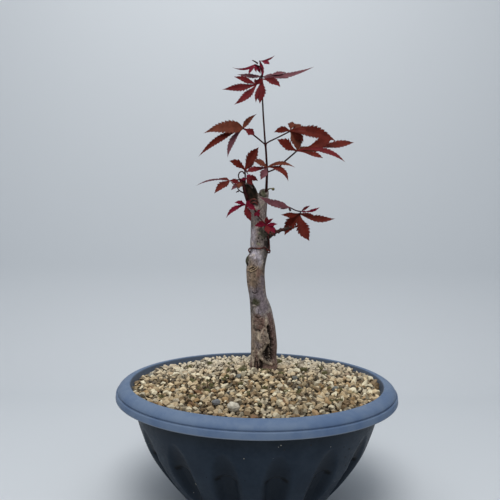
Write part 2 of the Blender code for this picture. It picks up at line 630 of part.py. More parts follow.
def cleared_stem(mass):
    """The stem's smooth path, which starts one clearance away from the limb that carries it."""
    path = curved(mass.stem, STEM_STEPS)
    run = (path[1] - path[0]).normalized()
    start = path[0] + run * CLEARANCE
    if mass.carrier != "tip":
        clearance = leader_clearance if mass.carrier == "leader" else trunk_clearance
        side = run.orthogonal().normalized() * STEM_RADIUS
        other = run.cross(side)
        edge = (side, -side, other, -other)
        while min(clearance(start + offset) for offset in edge) < CLEARANCE:
            start += run * CLEARANCE / 3.0
    gap = (start - path[0]).dot(run)
    return [start] + [point for point in path if (point - path[0]).dot(run) > gap + STEM_RADIUS]


def lobe_mesh(name, heart, lobe, facing, twist):
    """One leaf lobe: a folded blade that is thickest on its rib and pointed at its tip."""
    start = Vector(heart)
    chord = Vector((lobe.across, lobe.away, lobe.up))
    end = start + chord
    left = Vector((-chord.z, 0.0, chord.x)).normalized()
    middle = (start + end) / 2.0 + left * lobe.bow * 2.0
    rings = []
    for along, share in LOBE_STATIONS:
        rest = 1.0 - along
        point = start * rest * rest + middle * 2.0 * rest * along + end * along * along
        run = ((middle - start) * rest + (end - middle) * along).normalized()
        level = run.cross(Vector(facing)).normalized()
        across = level * math.cos(twist) + level.cross(run) * math.sin(twist)
        up = across.cross(run)
        half_width = lobe.width / 2.0 * share
        half_depth = LEAF_THICKNESS / 2.0 * (EDGE_THICKNESS + (1.0 - EDGE_THICKNESS) * share)
        fold = up * half_width * LEAF_FOLD
        rings.append((point - across * half_width + fold, point - up * half_depth,
                      point + across * half_width + fold, point + up * half_depth))
    return loft(name, rings)


def make_mass(mass, home, dice):
    """A shoot's leaves: one stem that starts clear of its limb, the stalks on it, and the lobes."""
    path = cleared_stem(mass)
    pieces = [rod(mass.name, path, [STEM_RADIUS] * len(path), TWIG_ROUNDNESS)]
    for leaf in mass.leaves:
        pieces.append(ball(mass.name, leaf.heart, HEART_RADIUS, 1))
        if leaf.stalk:
            stalk = curved((*leaf.stalk, leaf.heart), STALK_STEPS)
            pieces.append(rod(mass.name, stalk, [STALK_RADIUS] * len(stalk), TWIG_ROUNDNESS))
        for lobe in leaf.lobes:
            twist = math.radians(dice.uniform(-LEAF_TWIST, LEAF_TWIST))
            pieces.append(lobe_mesh(mass.name, leaf.heart, lobe, leaf.facing, twist))
    fuse(mass.name, pieces, paint(mass.name + "_tint", mass.colour, 0.6), home)


def make_bud(home):
    """A round bud on a short twig."""
    twig = rod("bud_twig", (*BUD_TWIG, BUD_CENTRE), [BUD_TWIG_RADIUS] * 3, LEADER_ROUNDNESS)
    bud = ball("bud", BUD_CENTRE, BUD_RADIUS, 2)
    fuse("bud_twig", [twig, bud], paint("bud_green", BUD_COLOUR, 0.6), home)


def make_wire(home):
    """A turn of training wire that lies just clear of the bark."""
    path = []
    for k in range(WIRE_POINTS + 1):
        share = k / WIRE_POINTS
        bearing = WIRE_START + 360.0 * WIRE_TURNS * share
        height = WIRE_HEIGHT + WIRE_PITCH * WIRE_TURNS * (share - 0.5)
        path.append(trunk_point(height, bearing % 360.0, CLEARANCE + WIRE_RADIUS + WIRE_SLACK))
    mesh = rod("trunk_wire", path, [WIRE_RADIUS] * len(path), TWIG_ROUNDNESS)
    add_object("trunk_wire", mesh, paint("wire_copper", WIRE_COLOUR, 0.45, 0.6), home)


clear_scene()
plant = new_collection("maple_bonsai")
cutter_home = new_collection("cutters")
make_pot(plant)
make_gravel(plant)
make_trunk_and_boughs(plant, cutter_home)
make_bud(plant)
make_wire(plant)
leaf_dice = random.Random(SEED)
for leaf_mass in MASSES:
    make_mass(leaf_mass, plant, leaf_dice)
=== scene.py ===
import json
import math
import random
from collections import namedtuple

import bmesh
import bpy
from mathutils import Matrix, Vector, noise

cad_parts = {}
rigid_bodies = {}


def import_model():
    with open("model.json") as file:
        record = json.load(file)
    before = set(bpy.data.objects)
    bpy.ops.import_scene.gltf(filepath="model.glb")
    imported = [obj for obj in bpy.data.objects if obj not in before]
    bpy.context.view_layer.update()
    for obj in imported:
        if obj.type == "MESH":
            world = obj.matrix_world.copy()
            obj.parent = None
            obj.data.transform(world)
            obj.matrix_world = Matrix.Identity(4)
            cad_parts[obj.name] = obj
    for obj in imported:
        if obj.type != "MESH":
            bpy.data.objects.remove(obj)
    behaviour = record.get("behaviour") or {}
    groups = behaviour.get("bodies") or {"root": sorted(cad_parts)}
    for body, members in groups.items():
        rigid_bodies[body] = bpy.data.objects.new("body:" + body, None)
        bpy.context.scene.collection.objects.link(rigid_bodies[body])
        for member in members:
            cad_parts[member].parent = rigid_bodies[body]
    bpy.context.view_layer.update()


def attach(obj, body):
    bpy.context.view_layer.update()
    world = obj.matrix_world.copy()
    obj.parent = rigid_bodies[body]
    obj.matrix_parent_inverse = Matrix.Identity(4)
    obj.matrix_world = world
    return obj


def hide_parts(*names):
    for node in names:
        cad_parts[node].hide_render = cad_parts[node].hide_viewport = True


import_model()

scene = bpy.context.scene

# The view: a level camera 30 cm up and 63 cm in front of the pot's middle, turned
# a little on its own axis, as the picture was taken. Sizes here are in millimetres.
MM = 0.001
PHOTO_SIDE = 500.0
PHOTO_FOCAL = 515.0
CAMERA_PLACE = Vector((-9.77, -627.2, 300.4))
CAMERA_ROLL = 0.65
SENSOR = 36.0

lens = bpy.data.cameras.new("photo_camera")
lens.sensor_width = SENSOR
lens.lens = SENSOR * PHOTO_FOCAL / PHOTO_SIDE
camera = bpy.data.objects.new("photo_camera", lens)
scene.collection.objects.link(camera)
camera.matrix_world = (Matrix.Translation(CAMERA_PLACE * MM) @ Matrix.Rotation(math.radians(90.0), 4, "X")
                       @ Matrix.Rotation(math.radians(CAMERA_ROLL), 4, "Z"))
scene.camera = camera
scene.view_settings.view_transform = "Standard"

# The studio: a pale matte floor that curves up into a backdrop, under a wide soft light
# overhead, a smaller one in front and an even pale sky. The paper hides nothing from behind.
FLOOR_SIDE = 9000.0
FLOOR_FRONT = -9000.0
SWEEP_START = 420.0
SWEEP_RADIUS = 260.0
SWEEP_STEPS = 24
BACKDROP_TOP = 2300.0
STUDIO_COLOUR = (0.62, 0.65, 0.68)
SKY_COLOUR = (0.84, 0.91, 1.0)
SKY_STRENGTH = 0.40
HAZE_COLOUR = (0.38, 0.42, 0.46)


def put_node(tree, kind, inputs=(), **settings):
    """Add a node with its settings, each input given as a value or as another node's output."""
    made = tree.nodes.new(kind)
    for name, value in settings.items():
        setattr(made, name, value)
    for name, value in dict(inputs).items():
        if isinstance(value, bpy.types.NodeSocket):
            tree.links.new(value, made.inputs[name])
        else:
            made.inputs[name].default_value = value
    return made


def new_material(name):
    """A material with only its output and a Principled shader."""
    material = bpy.data.materials.new(name)
    material.use_nodes = True
    return material, material.node_tree, material.node_tree.nodes["Principled BSDF"]


def link_object(name, mesh, material=None):
    """Put a mesh in the scene as an object at the origin."""
    item = bpy.data.objects.new(name, mesh)
    if material is not None:
        mesh.materials.clear()
        mesh.materials.append(material)
    scene.collection.objects.link(item)
    return item


def soft_light(name, place, target, size, energy, colour):
    """A square area light aimed at a point."""
    lamp = bpy.data.lights.new(name, "AREA")
    lamp.size = size * MM
    lamp.energy = energy
    lamp.color = colour
    item = bpy.data.objects.new(name, lamp)
    item.location = Vector(place) * MM
    item.rotation_euler = (Vector(target) - Vector(place)).to_track_quat("-Z", "Y").to_euler()
    scene.collection.objects.link(item)


studio_rows = [(FLOOR_FRONT, 0.0)]
for step in range(SWEEP_STEPS + 1):
    turn = math.pi / 2.0 * step / SWEEP_STEPS
    studio_rows.append((SWEEP_START + SWEEP_RADIUS * math.sin(turn), SWEEP_RADIUS * (1.0 - math.cos(turn))))
studio_rows.append((SWEEP_START + SWEEP_RADIUS, BACKDROP_TOP))
studio_points = [(x * MM, y * MM, z * MM) for y, z in studio_rows for x in (-FLOOR_SIDE, FLOOR_SIDE)]
studio_faces = [(2 * k, 2 * k + 1, 2 * k + 3, 2 * k + 2) for k in range(len(studio_rows) - 1)]
studio_mesh = bpy.data.meshes.new("studio_floor")
studio_mesh.from_pydata(studio_points, [], studio_faces)
studio_mesh.shade_smooth()
studio_paint, studio_tree, studio_shader = new_material("studio_paper")
studio_shader.inputs["Base Color"].default_value = (*STUDIO_COLOUR, 1.0)
studio_shader.inputs["Roughness"].default_value = 0.9
studio_behind = put_node(studio_tree, "ShaderNodeNewGeometry").outputs["Backfacing"]
studio_clear = put_node(studio_tree, "ShaderNodeBsdfTransparent").outputs[0]
studio_mix = put_node(studio_tree, "ShaderNodeMixShader", {0: studio_behind, 1: studio_shader.outputs[0],
                                                           2: studio_clear})
studio_tree.links.new(studio_mix.outputs[0], studio_tree.nodes["Material Output"].inputs["Surface"])
link_object("studio_floor", studio_mesh, studio_paint)

soft_light("overhead_light", (-100.0, -150.0, 1500.0), (0.0, 0.0, 150.0), 1300.0, 9.0, (1.0, 0.985, 0.96))
soft_light("front_light", (-80.0, -900.0, 1450.0), (0.0, 0.0, 260.0), 700.0, 10.0, (1.0, 0.99, 0.97))
sky = bpy.data.worlds.new("studio_sky")
sky.use_nodes = True
sky.node_tree.nodes["Background"].inputs["Color"].default_value = (*SKY_COLOUR, 1.0)
sky.node_tree.nodes["Background"].inputs["Strength"].default_value = SKY_STRENGTH
haze = put_node(sky.node_tree, "ShaderNodeBackground", {"Color": (*HAZE_COLOUR, 1.0)})
seen_sky = put_node(sky.node_tree, "ShaderNodeMixShader", {
    0: put_node(sky.node_tree, "ShaderNodeLightPath").outputs["Is Camera Ray"],
    1: sky.node_tree.nodes["Background"].outputs[0], 2: haze.outputs[0]})
sky.node_tree.links.new(seen_sky.outputs[0], sky.node_tree.nodes["World Output"].inputs["Surface"])
scene.world = sky

# The pot: a round bowl of slate blue plastic, moulded in one piece, with a rolled rim
# and skirt and 16 oval flutes round its wall, each with a deeper arched panel inside.
RIM_DIAMETER = 332.0
POT_HEIGHT = 145.0
WALL = 2.6
FLOOR_THICKNESS = 3.2
FOOT_ROUNDING = 3.0
BOWL_OUTLINE = ((0.0, 75.0), (20.0, 92.0), (45.0, 112.0), (70.0, 128.0), (95.0, 138.0),
                (110.0, 142.5), (139.0, 148.5))
LIP_RADIUS = 151.25
LIP_ROUNDING = 2.2
ROLL_WIDTH = 12.5
ROLL_DROP = 8.0
CREASE_DEPTH = 1.2
SKIRT_HEIGHT = 15.8
SKIRT_ROUNDING = 1.1
SKIRT_DRAFT = 2.5
SKIRT_RETURN = 6.0
SHOULDER_ROUNDING = 0.9
SHOULDER_DROP = 1.6
RIM_EASE = 0.4
ROLL_UNDERSIDE = 5.0
SKIRT_CHAMFER = ((0.0, 0.1), (-0.6, 0.8))
NECK_HEIGHT = 136.0
NECK_FLARE = ((3.0, 140.0), (0.6, 138.6))
INNER_DROP = 10.0
POT_COLUMNS = 384
WALL_ROWS = 128
INNER_ROWS = 14
FLUTES = {"Count": 16.0, "First Bearing": math.radians(-81.5), "Half Angle": math.radians(6.9),
          "Foot": 31.0 * MM, "Head": 106.0 * MM, "Depth": 6.0 * MM, "Arch Half Angle": math.radians(5.0),
          "Arch Spring": 72.6 * MM, "Arch Rise": 6.8 * MM, "Arch Depth": 3.6 * MM}
FLUTE_TAPER = 0.75
FLUTE_ROUNDNESS = 1.5
PANEL_FADE = (0.04, 0.3)
PANEL_EDGE = (0.0, 0.5)
# How much the painted shade in each flute's recess lessens where its deeper panel lies.
PANEL_SHADE = 60.0
# Where the painted shadow under each arch's overhang begins and ends.
CREASE_OUTSIDE = (-0.30, 0.05)
CREASE_INSIDE = (0.75, 0.25)
POT_SHARP_ANGLE = 50.0
MERGE_DISTANCE = 0.01
# Where the pot's colours and its painted light and shade change, in metres up or out from the middle, as its
# material sees them.
# Painted light: above this band the pot is painted lighter, as its rim lit from above, and below it darker,
# as its body in shade.
LIT_RIM_BAND = (0.1285, 0.1305)
# Painted shadow under the rim, darkest just below the skirt.
UNDER_RIM_SHADOW = (0.104, 0.129)
# A thin pale line along the skirt's lower edge.
PALE_LINE_RISE = (0.1282, 0.1290)
PALE_LINE_FALL = (0.1310, 0.1298)
# Painted shade on the inner wall of the rim.
RIM_INSIDE_SHADE = (0.1512, 0.1492)


def smooth_value(table, at):
    """Read a smooth curve through (place, value, ...) rows at one place."""
    last = len(table) - 1
    index = 0
    while index < last - 1 and table[index + 1][0] < at:
        index += 1
    low = table[index]
    high = table[index + 1]
    share = min(max((at - low[0]) / (high[0] - low[0]), 0.0), 1.0)
    before = table[max(index - 1, 0)]
    after = table[min(index + 2, last)]
    square = share * share
    cube = square * share
    result = []
    for column in range(1, len(low)):
        slope_low = (high[column] - before[column]) / (high[0] - before[0]) * (high[0] - low[0])
        slope_high = (after[column] - low[column]) / (after[0] - low[0]) * (high[0] - low[0])
        value = (2 * cube - 3 * square + 1) * low[column] + (cube - 2 * square + share) * slope_low
        value += (3 * square - 2 * cube) * high[column] + (cube - square) * slope_high
        result.append(value)
    return result


def outer_radius(height):
    """Outside of the bowl, without its flutes."""
    return smooth_value(BOWL_OUTLINE, height)[0]


def inner_radius(height):
    """Inside of the bowl: one wall thickness in, measured square to the wall."""
    slope = (outer_radius(height + 1.0) - outer_radius(height - 1.0)) / 2.0
    return outer_radius(height) - WALL * math.hypot(slope, 1.0)


def arc(middle, radii, first, last, steps):
    """Points round part of an ellipse, by degrees from outwards (0) to up (90)."""
    turns = [math.radians(first + (last - first) * k / steps) for k in range(steps + 1)]
    return [(middle[0] + radii[0] * math.cos(turn), middle[1] + radii[1] * math.sin(turn)) for turn in turns]


def pot_profile():
    """The outline of the pot's section, from the inner floor over the rim to the underside."""
    rim = RIM_DIAMETER / 2.0
    crease = LIP_RADIUS + ROLL_WIDTH
    roll_foot = POT_HEIGHT - ROLL_DROP
    skirt_foot = POT_HEIGHT - SKIRT_HEIGHT
    skirt_inside = rim - WALL
    inner_foot = FLOOR_THICKNESS + FOOT_ROUNDING
    outline = [(0.0, FLOOR_THICKNESS), (inner_radius(inner_foot) - FOOT_ROUNDING, FLOOR_THICKNESS)]
    for k in range(INNER_ROWS + 1):
        height = inner_foot + (POT_HEIGHT - INNER_DROP - inner_foot) * k / INNER_ROWS
        outline.append((inner_radius(height), height))
    outline += arc((LIP_RADIUS + RIM_EASE, POT_HEIGHT - LIP_ROUNDING), (LIP_ROUNDING,) * 2, 172.0, 96.0, 6)
    outline += arc((LIP_RADIUS, roll_foot), (ROLL_WIDTH, ROLL_DROP), 84.0, 6.0, 14)
    outline += arc((crease + RIM_EASE, roll_foot), (CREASE_DEPTH,) * 2, 200.0, 290.0, 4)
    shoulder = (crease + SHOULDER_ROUNDING, roll_foot - SHOULDER_DROP)
    outline += arc(shoulder, (SHOULDER_ROUNDING,) * 2, 80.0, 10.0, 3)
    outline += arc((rim - SKIRT_ROUNDING, skirt_foot + SKIRT_ROUNDING), (SKIRT_ROUNDING,) * 2, 4.0, -86.0, 5)
    outline += [(skirt_inside + across, skirt_foot + up) for across, up in SKIRT_CHAMFER]
    outline.append((skirt_inside - SKIRT_DRAFT, skirt_foot + SKIRT_RETURN))
    outline.append((crease - ROLL_UNDERSIDE, POT_HEIGHT - ROLL_UNDERSIDE))
    outline += [(outer_radius(NECK_HEIGHT) + across, height) for across, height in NECK_FLARE]
    for k in range(WALL_ROWS + 1):
        height = NECK_HEIGHT + (FOOT_ROUNDING - NECK_HEIGHT) * k / WALL_ROWS
        outline.append((outer_radius(height), height))
    foot = (outer_radius(FOOT_ROUNDING) - FOOT_ROUNDING, FOOT_ROUNDING)
    outline += arc(foot, (FOOT_ROUNDING,) * 2, -18.0, -90.0, 4)
    outline.append((0.0, 0.0))
    return outline


def maths(tree, operation, *values):
    """One step of arithmetic in a node tree."""
    return put_node(tree, "ShaderNodeMath", enumerate(values), operation=operation).outputs[0]


def times(tree, first, second):
    """Multiply two values in a node tree."""
    return maths(tree, "MULTIPLY", first, second)


def split(tree, vector):
    """The X, Y and Z of a vector."""
    return put_node(tree, "ShaderNodeSeparateXYZ", {0: vector}).outputs


def ramp(tree, value, low, high, smooth=True):
    """Turn a value between two limits into a mask from 0 to 1."""
    kind = "SMOOTHSTEP" if smooth else "LINEAR"
    made = put_node(tree, "ShaderNodeMapRange", {"Value": value, "From Min": low, "From Max": high},
                    interpolation_type=kind)
    return made.outputs[0]


def geometry_tree(name, inputs):
    """An empty Geometry Nodes tree that passes a mesh in and out, with named inputs."""
    tree = bpy.data.node_groups.new(name, "GeometryNodeTree")
    tree.interface.new_socket("Geometry", in_out="INPUT", socket_type="NodeSocketGeometry")
    tree.interface.new_socket("Geometry", in_out="OUTPUT", socket_type="NodeSocketGeometry")
    for label, kind in inputs:
        tree.interface.new_socket(label, in_out="INPUT", socket_type=kind)
    return tree, tree.nodes.new("NodeGroupInput").outputs, tree.nodes.new("NodeGroupOutput").inputs


def run_tree(item, tree, values):
    """Run a Geometry Nodes tree on an object with the given input values and keep its result."""
    modifier = item.modifiers.new(tree.name, "NODES")
    modifier.node_group = tree
    for socket in tree.interface.items_tree:
        if socket.in_out == "INPUT" and socket.name in values:
            modifier[socket.identifier] = values[socket.name]
    depsgraph = bpy.context.evaluated_depsgraph_get()
    depsgraph.update()
    result = bpy.data.meshes.new_from_object(item.evaluated_get(depsgraph))
    item.modifiers.remove(modifier)
    item.data = result
    return result


def note_value(tree, shape, name, value):
    """Note a value under a name on every point of a mesh."""
    noted = put_node(tree, "GeometryNodeStoreNamedAttribute", {
        "Geometry": shape, "Name": name, "Value": value}, data_type="FLOAT", domain="POINT")
    return noted.outputs[0]


def end_tree(tree, shape, material, result):
    """End a tree: make its instances real and give the mesh its material."""
    real = put_node(tree, "GeometryNodeRealizeInstances", {"Geometry": shape}).outputs[0]
    painted = put_node(tree, "GeometryNodeSetMaterial", {"Geometry": real, "Material": material})
    tree.links.new(painted.outputs[0], result["Geometry"])
    return tree


def flute_tree():
    """Presses a ring of oval flutes, each with an arched panel, into a turned wall."""
    labels = [(label, "NodeSocketFloat") for label in FLUTES] + [("Material", "NodeSocketMaterial")]
    tree, given, result = geometry_tree("pressed_flutes", labels)
    axes = split(tree, put_node(tree, "GeometryNodeInputPosition").outputs[0])
    square = maths(tree, "ADD", times(tree, axes["X"], axes["X"]), times(tree, axes["Y"], axes["Y"]))
    reach = maths(tree, "SQRT", square)
    bearing = maths(tree, "SUBTRACT", maths(tree, "ARCTAN2", axes["Y"], axes["X"]), given["First Bearing"])
    half_space = maths(tree, "DIVIDE", math.pi, given["Count"])
    offset = maths(tree, "ABSOLUTE", maths(tree, "WRAP", bearing, half_space, times(tree, half_space, -1.0)))
    rise = ramp(tree, axes["Z"], given["Foot"], given["Head"], smooth=False)
    up = maths(tree, "SUBTRACT", times(tree, maths(tree, "POWER", rise, FLUTE_TAPER), 2.0), 1.0)
    side = maths(tree, "DIVIDE", offset, given["Half Angle"])
    oval = maths(tree, "SUBTRACT", 1.0, maths(tree, "ADD", times(tree, up, up), times(tree, side, side)))
    hollow = maths(tree, "POWER", maths(tree, "MAXIMUM", oval, 0.0), 0.5)
    scoop = times(tree, maths(tree, "POWER", hollow, FLUTE_ROUNDNESS), given["Depth"])
    across = maths(tree, "DIVIDE", offset, given["Arch Half Angle"])
    above = maths(tree, "SUBTRACT", axes["Z"], given["Arch Spring"])
    above = maths(tree, "MAXIMUM", maths(tree, "DIVIDE", above, given["Arch Rise"]), 0.0)
    arch = maths(tree, "ADD", times(tree, across, across), times(tree, above, above))
    inside = maths(tree, "SUBTRACT", 1.0, arch)
    fade = ramp(tree, rise, *PANEL_FADE)
    panel = times(tree, times(tree, ramp(tree, inside, *PANEL_EDGE), fade), given["Arch Depth"])
    push = maths(tree, "DIVIDE", maths(tree, "ADD", scoop, panel), maths(tree, "MAXIMUM", reach, MM))
    scale = maths(tree, "SUBTRACT", 1.0, push)
    moved = put_node(tree, "ShaderNodeCombineXYZ", {"X": times(tree, axes["X"], scale),
                                                    "Y": times(tree, axes["Y"], scale),
                                                    "Z": axes["Z"]}).outputs[0]
    pressed = put_node(tree, "GeometryNodeSetPosition", {"Geometry": given["Geometry"],
                                                         "Position": moved}).outputs[0]
    # The crease mask paints the shadow under each arch's overhang.
    crease = times(tree, ramp(tree, inside, *CREASE_OUTSIDE), ramp(tree, inside, *CREASE_INSIDE))
    crease = times(tree, times(tree, crease, fade), maths(tree, "GREATER_THAN", above, 0.0))
    # The recess mask: painted shade in each flute, less on its deeper panel.
    shade = times(tree, hollow, maths(tree, "SUBTRACT", 1.0, times(tree, panel, PANEL_SHADE)))
    pressed = note_value(tree, note_value(tree, pressed, "hollow", shade), "crease", crease)
    return end_tree(tree, pressed, given["Material"], result)


def shader_group(name, inputs, outputs):
    """An empty shader node group with named inputs and outputs."""
    tree = bpy.data.node_groups.new(name, "ShaderNodeTree")
    for label, kind, value in inputs:
        socket = tree.interface.new_socket(label, in_out="INPUT", socket_type=kind)
        if value is not None:
            socket.default_value = value
    for label, kind in outputs:
        tree.interface.new_socket(label, in_out="OUTPUT", socket_type=kind)
    return tree, tree.nodes.new("NodeGroupInput").outputs, tree.nodes.new("NodeGroupOutput").inputs


def use_group(tree, group, inputs):
    """Place a shader group in a material with its own values and return its outputs."""
    return put_node(tree, "ShaderNodeGroup", inputs, node_tree=group).outputs


def mix_colour(tree, share, first, second, blend="MIX"):
    """Mix two colours, each a value or an output."""
    values = {0: share}
    for place, colour in ((6, first), (7, second)):
        values[place] = colour if isinstance(colour, bpy.types.NodeSocket) else (*colour, 1.0)
    return put_node(tree, "ShaderNodeMix", values, data_type="RGBA", blend_type=blend).outputs[2]


mottle_group, mottle_in, mottle_out = shader_group(
    "mottling", [("Vector", "NodeSocketVector", None), ("Scale", "NodeSocketFloat", 100.0),
                 ("Stretch", "NodeSocketFloat", 1.0)], [("Value", "NodeSocketFloat")])
mottle_axes = split(mottle_group, mottle_in["Vector"])
mottle_place = put_node(mottle_group, "ShaderNodeCombineXYZ", {
    "X": mottle_axes["X"], "Y": mottle_axes["Y"],
    "Z": times(mottle_group, mottle_axes["Z"], mottle_in["Stretch"])}).outputs[0]
mottle_noise = put_node(mottle_group, "ShaderNodeTexNoise", {
    "Vector": mottle_place, "Scale": mottle_in["Scale"], "Detail": 5.0, "Roughness": 0.6}).outputs[0]
mottle_group.links.new(ramp(mottle_group, mottle_noise, 0.3, 0.7), mottle_out["Value"])

speck_group, speck_in, speck_out = shader_group(
    "specks", [("Vector", "NodeSocketVector", None), ("Scale", "NodeSocketFloat", 100.0),
               ("Size", "NodeSocketFloat", 0.2), ("Share", "NodeSocketFloat", 0.5)],
    [("Mask", "NodeSocketFloat")])
speck_cells = put_node(speck_group, "ShaderNodeTexVoronoi", {"Vector": speck_in["Vector"],
                                                             "Scale": speck_in["Scale"]}).outputs
speck_lot = put_node(speck_group, "ShaderNodeSeparateColor", {0: speck_cells["Color"]}).outputs[0]
speck_pick = maths(speck_group, "LESS_THAN", speck_lot, speck_in["Share"])
speck_near = maths(speck_group, "LESS_THAN", speck_cells["Distance"], speck_in["Size"])
speck_group.links.new(times(speck_group, speck_pick, speck_near), speck_out["Mask"])


def mottling(tree, place, scale, stretch=1.0):
    """Soft clouds of a given fineness, drawn out or pressed flat along Z."""
    return use_group(tree, mottle_group, {"Vector": place, "Scale": scale, "Stretch": stretch})["Value"]


def specks(tree, place, scale, size, share):
    """Round specks in a share of the cells that fill the surface."""
    values = {"Vector": place, "Scale": scale, "Size": size, "Share": share}
    return use_group(tree, speck_group, values)["Mask"]


def roughening(tree, place, scale, detail):
    """Fine noise for a surface's grain."""
    values = {"Vector": place, "Scale": scale, "Detail": detail}
    return put_node(tree, "ShaderNodeTexNoise", values).outputs[0]


def noted_mask(tree, name):
    """A mask that was noted on the mesh."""
    return put_node(tree, "ShaderNodeAttribute", attribute_name=name).outputs["Fac"]


def object_place(tree):
    """The place of a point in the object's own coordinates."""
    return put_node(tree, "ShaderNodeTexCoord").outputs["Object"]


def tint(tree, colour, mask, strength, shade):
    """Lay a shade over a colour where a mask says, at part of its strength."""
    return mix_colour(tree, times(tree, mask, strength), colour, shade)


def add_bump(tree, shader, height, strength, distance):
    """Give a shader a fine relief, its depth in metres."""
    bump = put_node(tree, "ShaderNodeBump", {"Height": height, "Strength": strength, "Distance": distance})
    tree.links.new(bump.outputs[0], shader.inputs["Normal"])


def pot_material():
    """Satin moulded plastic in painted light, lighter on the rim, darker as in shade below it; dusty,
    splashed below.
    """
    material, tree, shader = new_material("pot_plastic")
    place = object_place(tree)
    height = split(tree, place)["Z"]
    cloud = mottling(tree, place, 38.0)
    fine_cloud = mottling(tree, place, 240.0)
    # Painted light: the rim is painted lighter and bluer, as lit by the sky above, and the body darker, as in
    # shade.
    lit_rim_mask = ramp(tree, height, *LIT_RIM_BAND)
    body = mix_colour(tree, cloud, (0.0145, 0.0240, 0.038), (0.022, 0.0340, 0.051))
    # Painted shadow on the body just under the rim.
    body = tint(tree, body, ramp(tree, height, *UNDER_RIM_SHADOW), 0.6, (0.012, 0.014, 0.012))
    # Painted shade in each flute's recess.
    body = tint(tree, body, noted_mask(tree, "hollow"), 0.75, (0.003, 0.005, 0.008))
    # Painted shadow in the crease under each arch.
    body = tint(tree, body, noted_mask(tree, "crease"), 0.9, (0.0012, 0.0018, 0.0025))
    rim = mix_colour(tree, cloud, (0.090, 0.141, 0.243), (0.138, 0.191, 0.283))
    # A thin pale line along the skirt's lower edge.
    pale_edge_line = times(tree, ramp(tree, height, *PALE_LINE_RISE), ramp(tree, height, *PALE_LINE_FALL))
    rim = tint(tree, rim, pale_edge_line, 0.35, (0.36, 0.37, 0.37))
    # Painted shade on the rim's inner wall, inside the lip.
    level = put_node(tree, "ShaderNodeVectorMath", {0: place, 1: (1.0, 1.0, 0.0)}, operation="MULTIPLY")
    reach = put_node(tree, "ShaderNodeVectorMath", {0: level.outputs[0]}, operation="LENGTH").outputs["Value"]
    rim = mix_colour(tree, ramp(tree, reach, *RIM_INSIDE_SHADE), rim, (0.073, 0.094, 0.132))
    colour = mix_colour(tree, lit_rim_mask, body, rim)
    colour = tint(tree, colour, fine_cloud, 0.03, (0.20, 0.22, 0.25))
    splash = times(tree, specks(tree, place, 160.0, 0.10, 0.05), maths(tree, "SUBTRACT", 0.9, lit_rim_mask))
    colour = mix_colour(tree, splash, colour, (0.012, 0.010, 0.008))
    colour = tint(tree, colour, specks(tree, place, 210.0, 0.10, 0.02), 0.7, (0.42, 0.40, 0.36))
    tree.links.new(colour, shader.inputs["Base Color"])
    worn = maths(tree, "ADD", 0.40, times(tree, fine_cloud, 0.16))
    tree.links.new(maths(tree, "ADD", worn, times(tree, splash, 0.3)), shader.inputs["Roughness"])
    shader.inputs["Specular IOR Level"].default_value = 0.1
    relief = maths(tree, "ADD", roughening(tree, place, 1500.0, 2.0), times(tree, splash, 2.0))
    add_bump(tree, shader, relief, 0.25, 0.0002)
    return material


pot_paint = pot_material()
pot_outline = bpy.data.meshes.new("pot_outline")
pot_points = [(radius * MM, 0.0, height * MM) for radius, height in pot_profile()]
pot_outline.from_pydata(pot_points, [(k, k + 1) for k in range(len(pot_points) - 1)], [])
pot = link_object("moulded_pot", pot_outline)
turning = pot.modifiers.new("Turned", "SCREW")
turning.axis = "Z"
turning.steps = POT_COLUMNS
turning.render_steps = POT_COLUMNS
turning.use_merge_vertices = True
turning.merge_threshold = MERGE_DISTANCE * MM
pot_mesh = run_tree(pot, flute_tree(), {**FLUTES, "Material": pot_paint})
pot.modifiers.remove(turning)
pot_mesh.shade_smooth()
pot_mesh.set_sharp_from_angle(angle=math.radians(POT_SHARP_ANGLE))
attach(pot, "root")
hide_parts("pot")

# Splashes on the pot: crumbs of soil and flecks of lime that rain threw up on its wall,
# dried on as small low drops.
SPLASH_SEED = 17
SPLASH_SIDES = 7
SPLASH_ROWS = 4
SPLASH_COUNTS = {"soil_splashes": 46, "lime_splashes": 12}
SPLASH_BEARINGS = (-30.0, 210.0)
SPLASH_HEIGHTS = (50.0, 126.0)
SPLASH_SIZES = (0.35, 0.85)
SPLASH_STRETCH = (0.8, 1.3)
SPLASH_FLATNESS = 0.4
THROW_FROM = 300.0
SOIL_PLACES = ((-69.3, 114.3, 0.8), (-48.0, 99.2, 0.9), (-49.0, 90.7, 0.8), (-46.4, 79.5, 0.8),
               (-60.5, 69.8, 0.7), (-80.0, 112.0, 0.6), (-52.0, 104.0, 0.7), (-55.0, 96.0, 0.6))
LIME_PLACES = ((-121.5, 61.1, 1.1), (-81.4, 116.8, 0.6), (-95.4, 102.9, 0.6), (-120.0, 63.0, 0.5))


def mottled_material(name, scale, dark, light, roughness):
    """A matte material whose colour wanders between two shades."""
    material, tree, shader = new_material(name)
    cloud = mottling(tree, object_place(tree), scale)
    tree.links.new(mix_colour(tree, cloud, dark, light), shader.inputs["Base Color"])
    shader.inputs["Roughness"].default_value = roughness
    return material, tree, shader, cloud


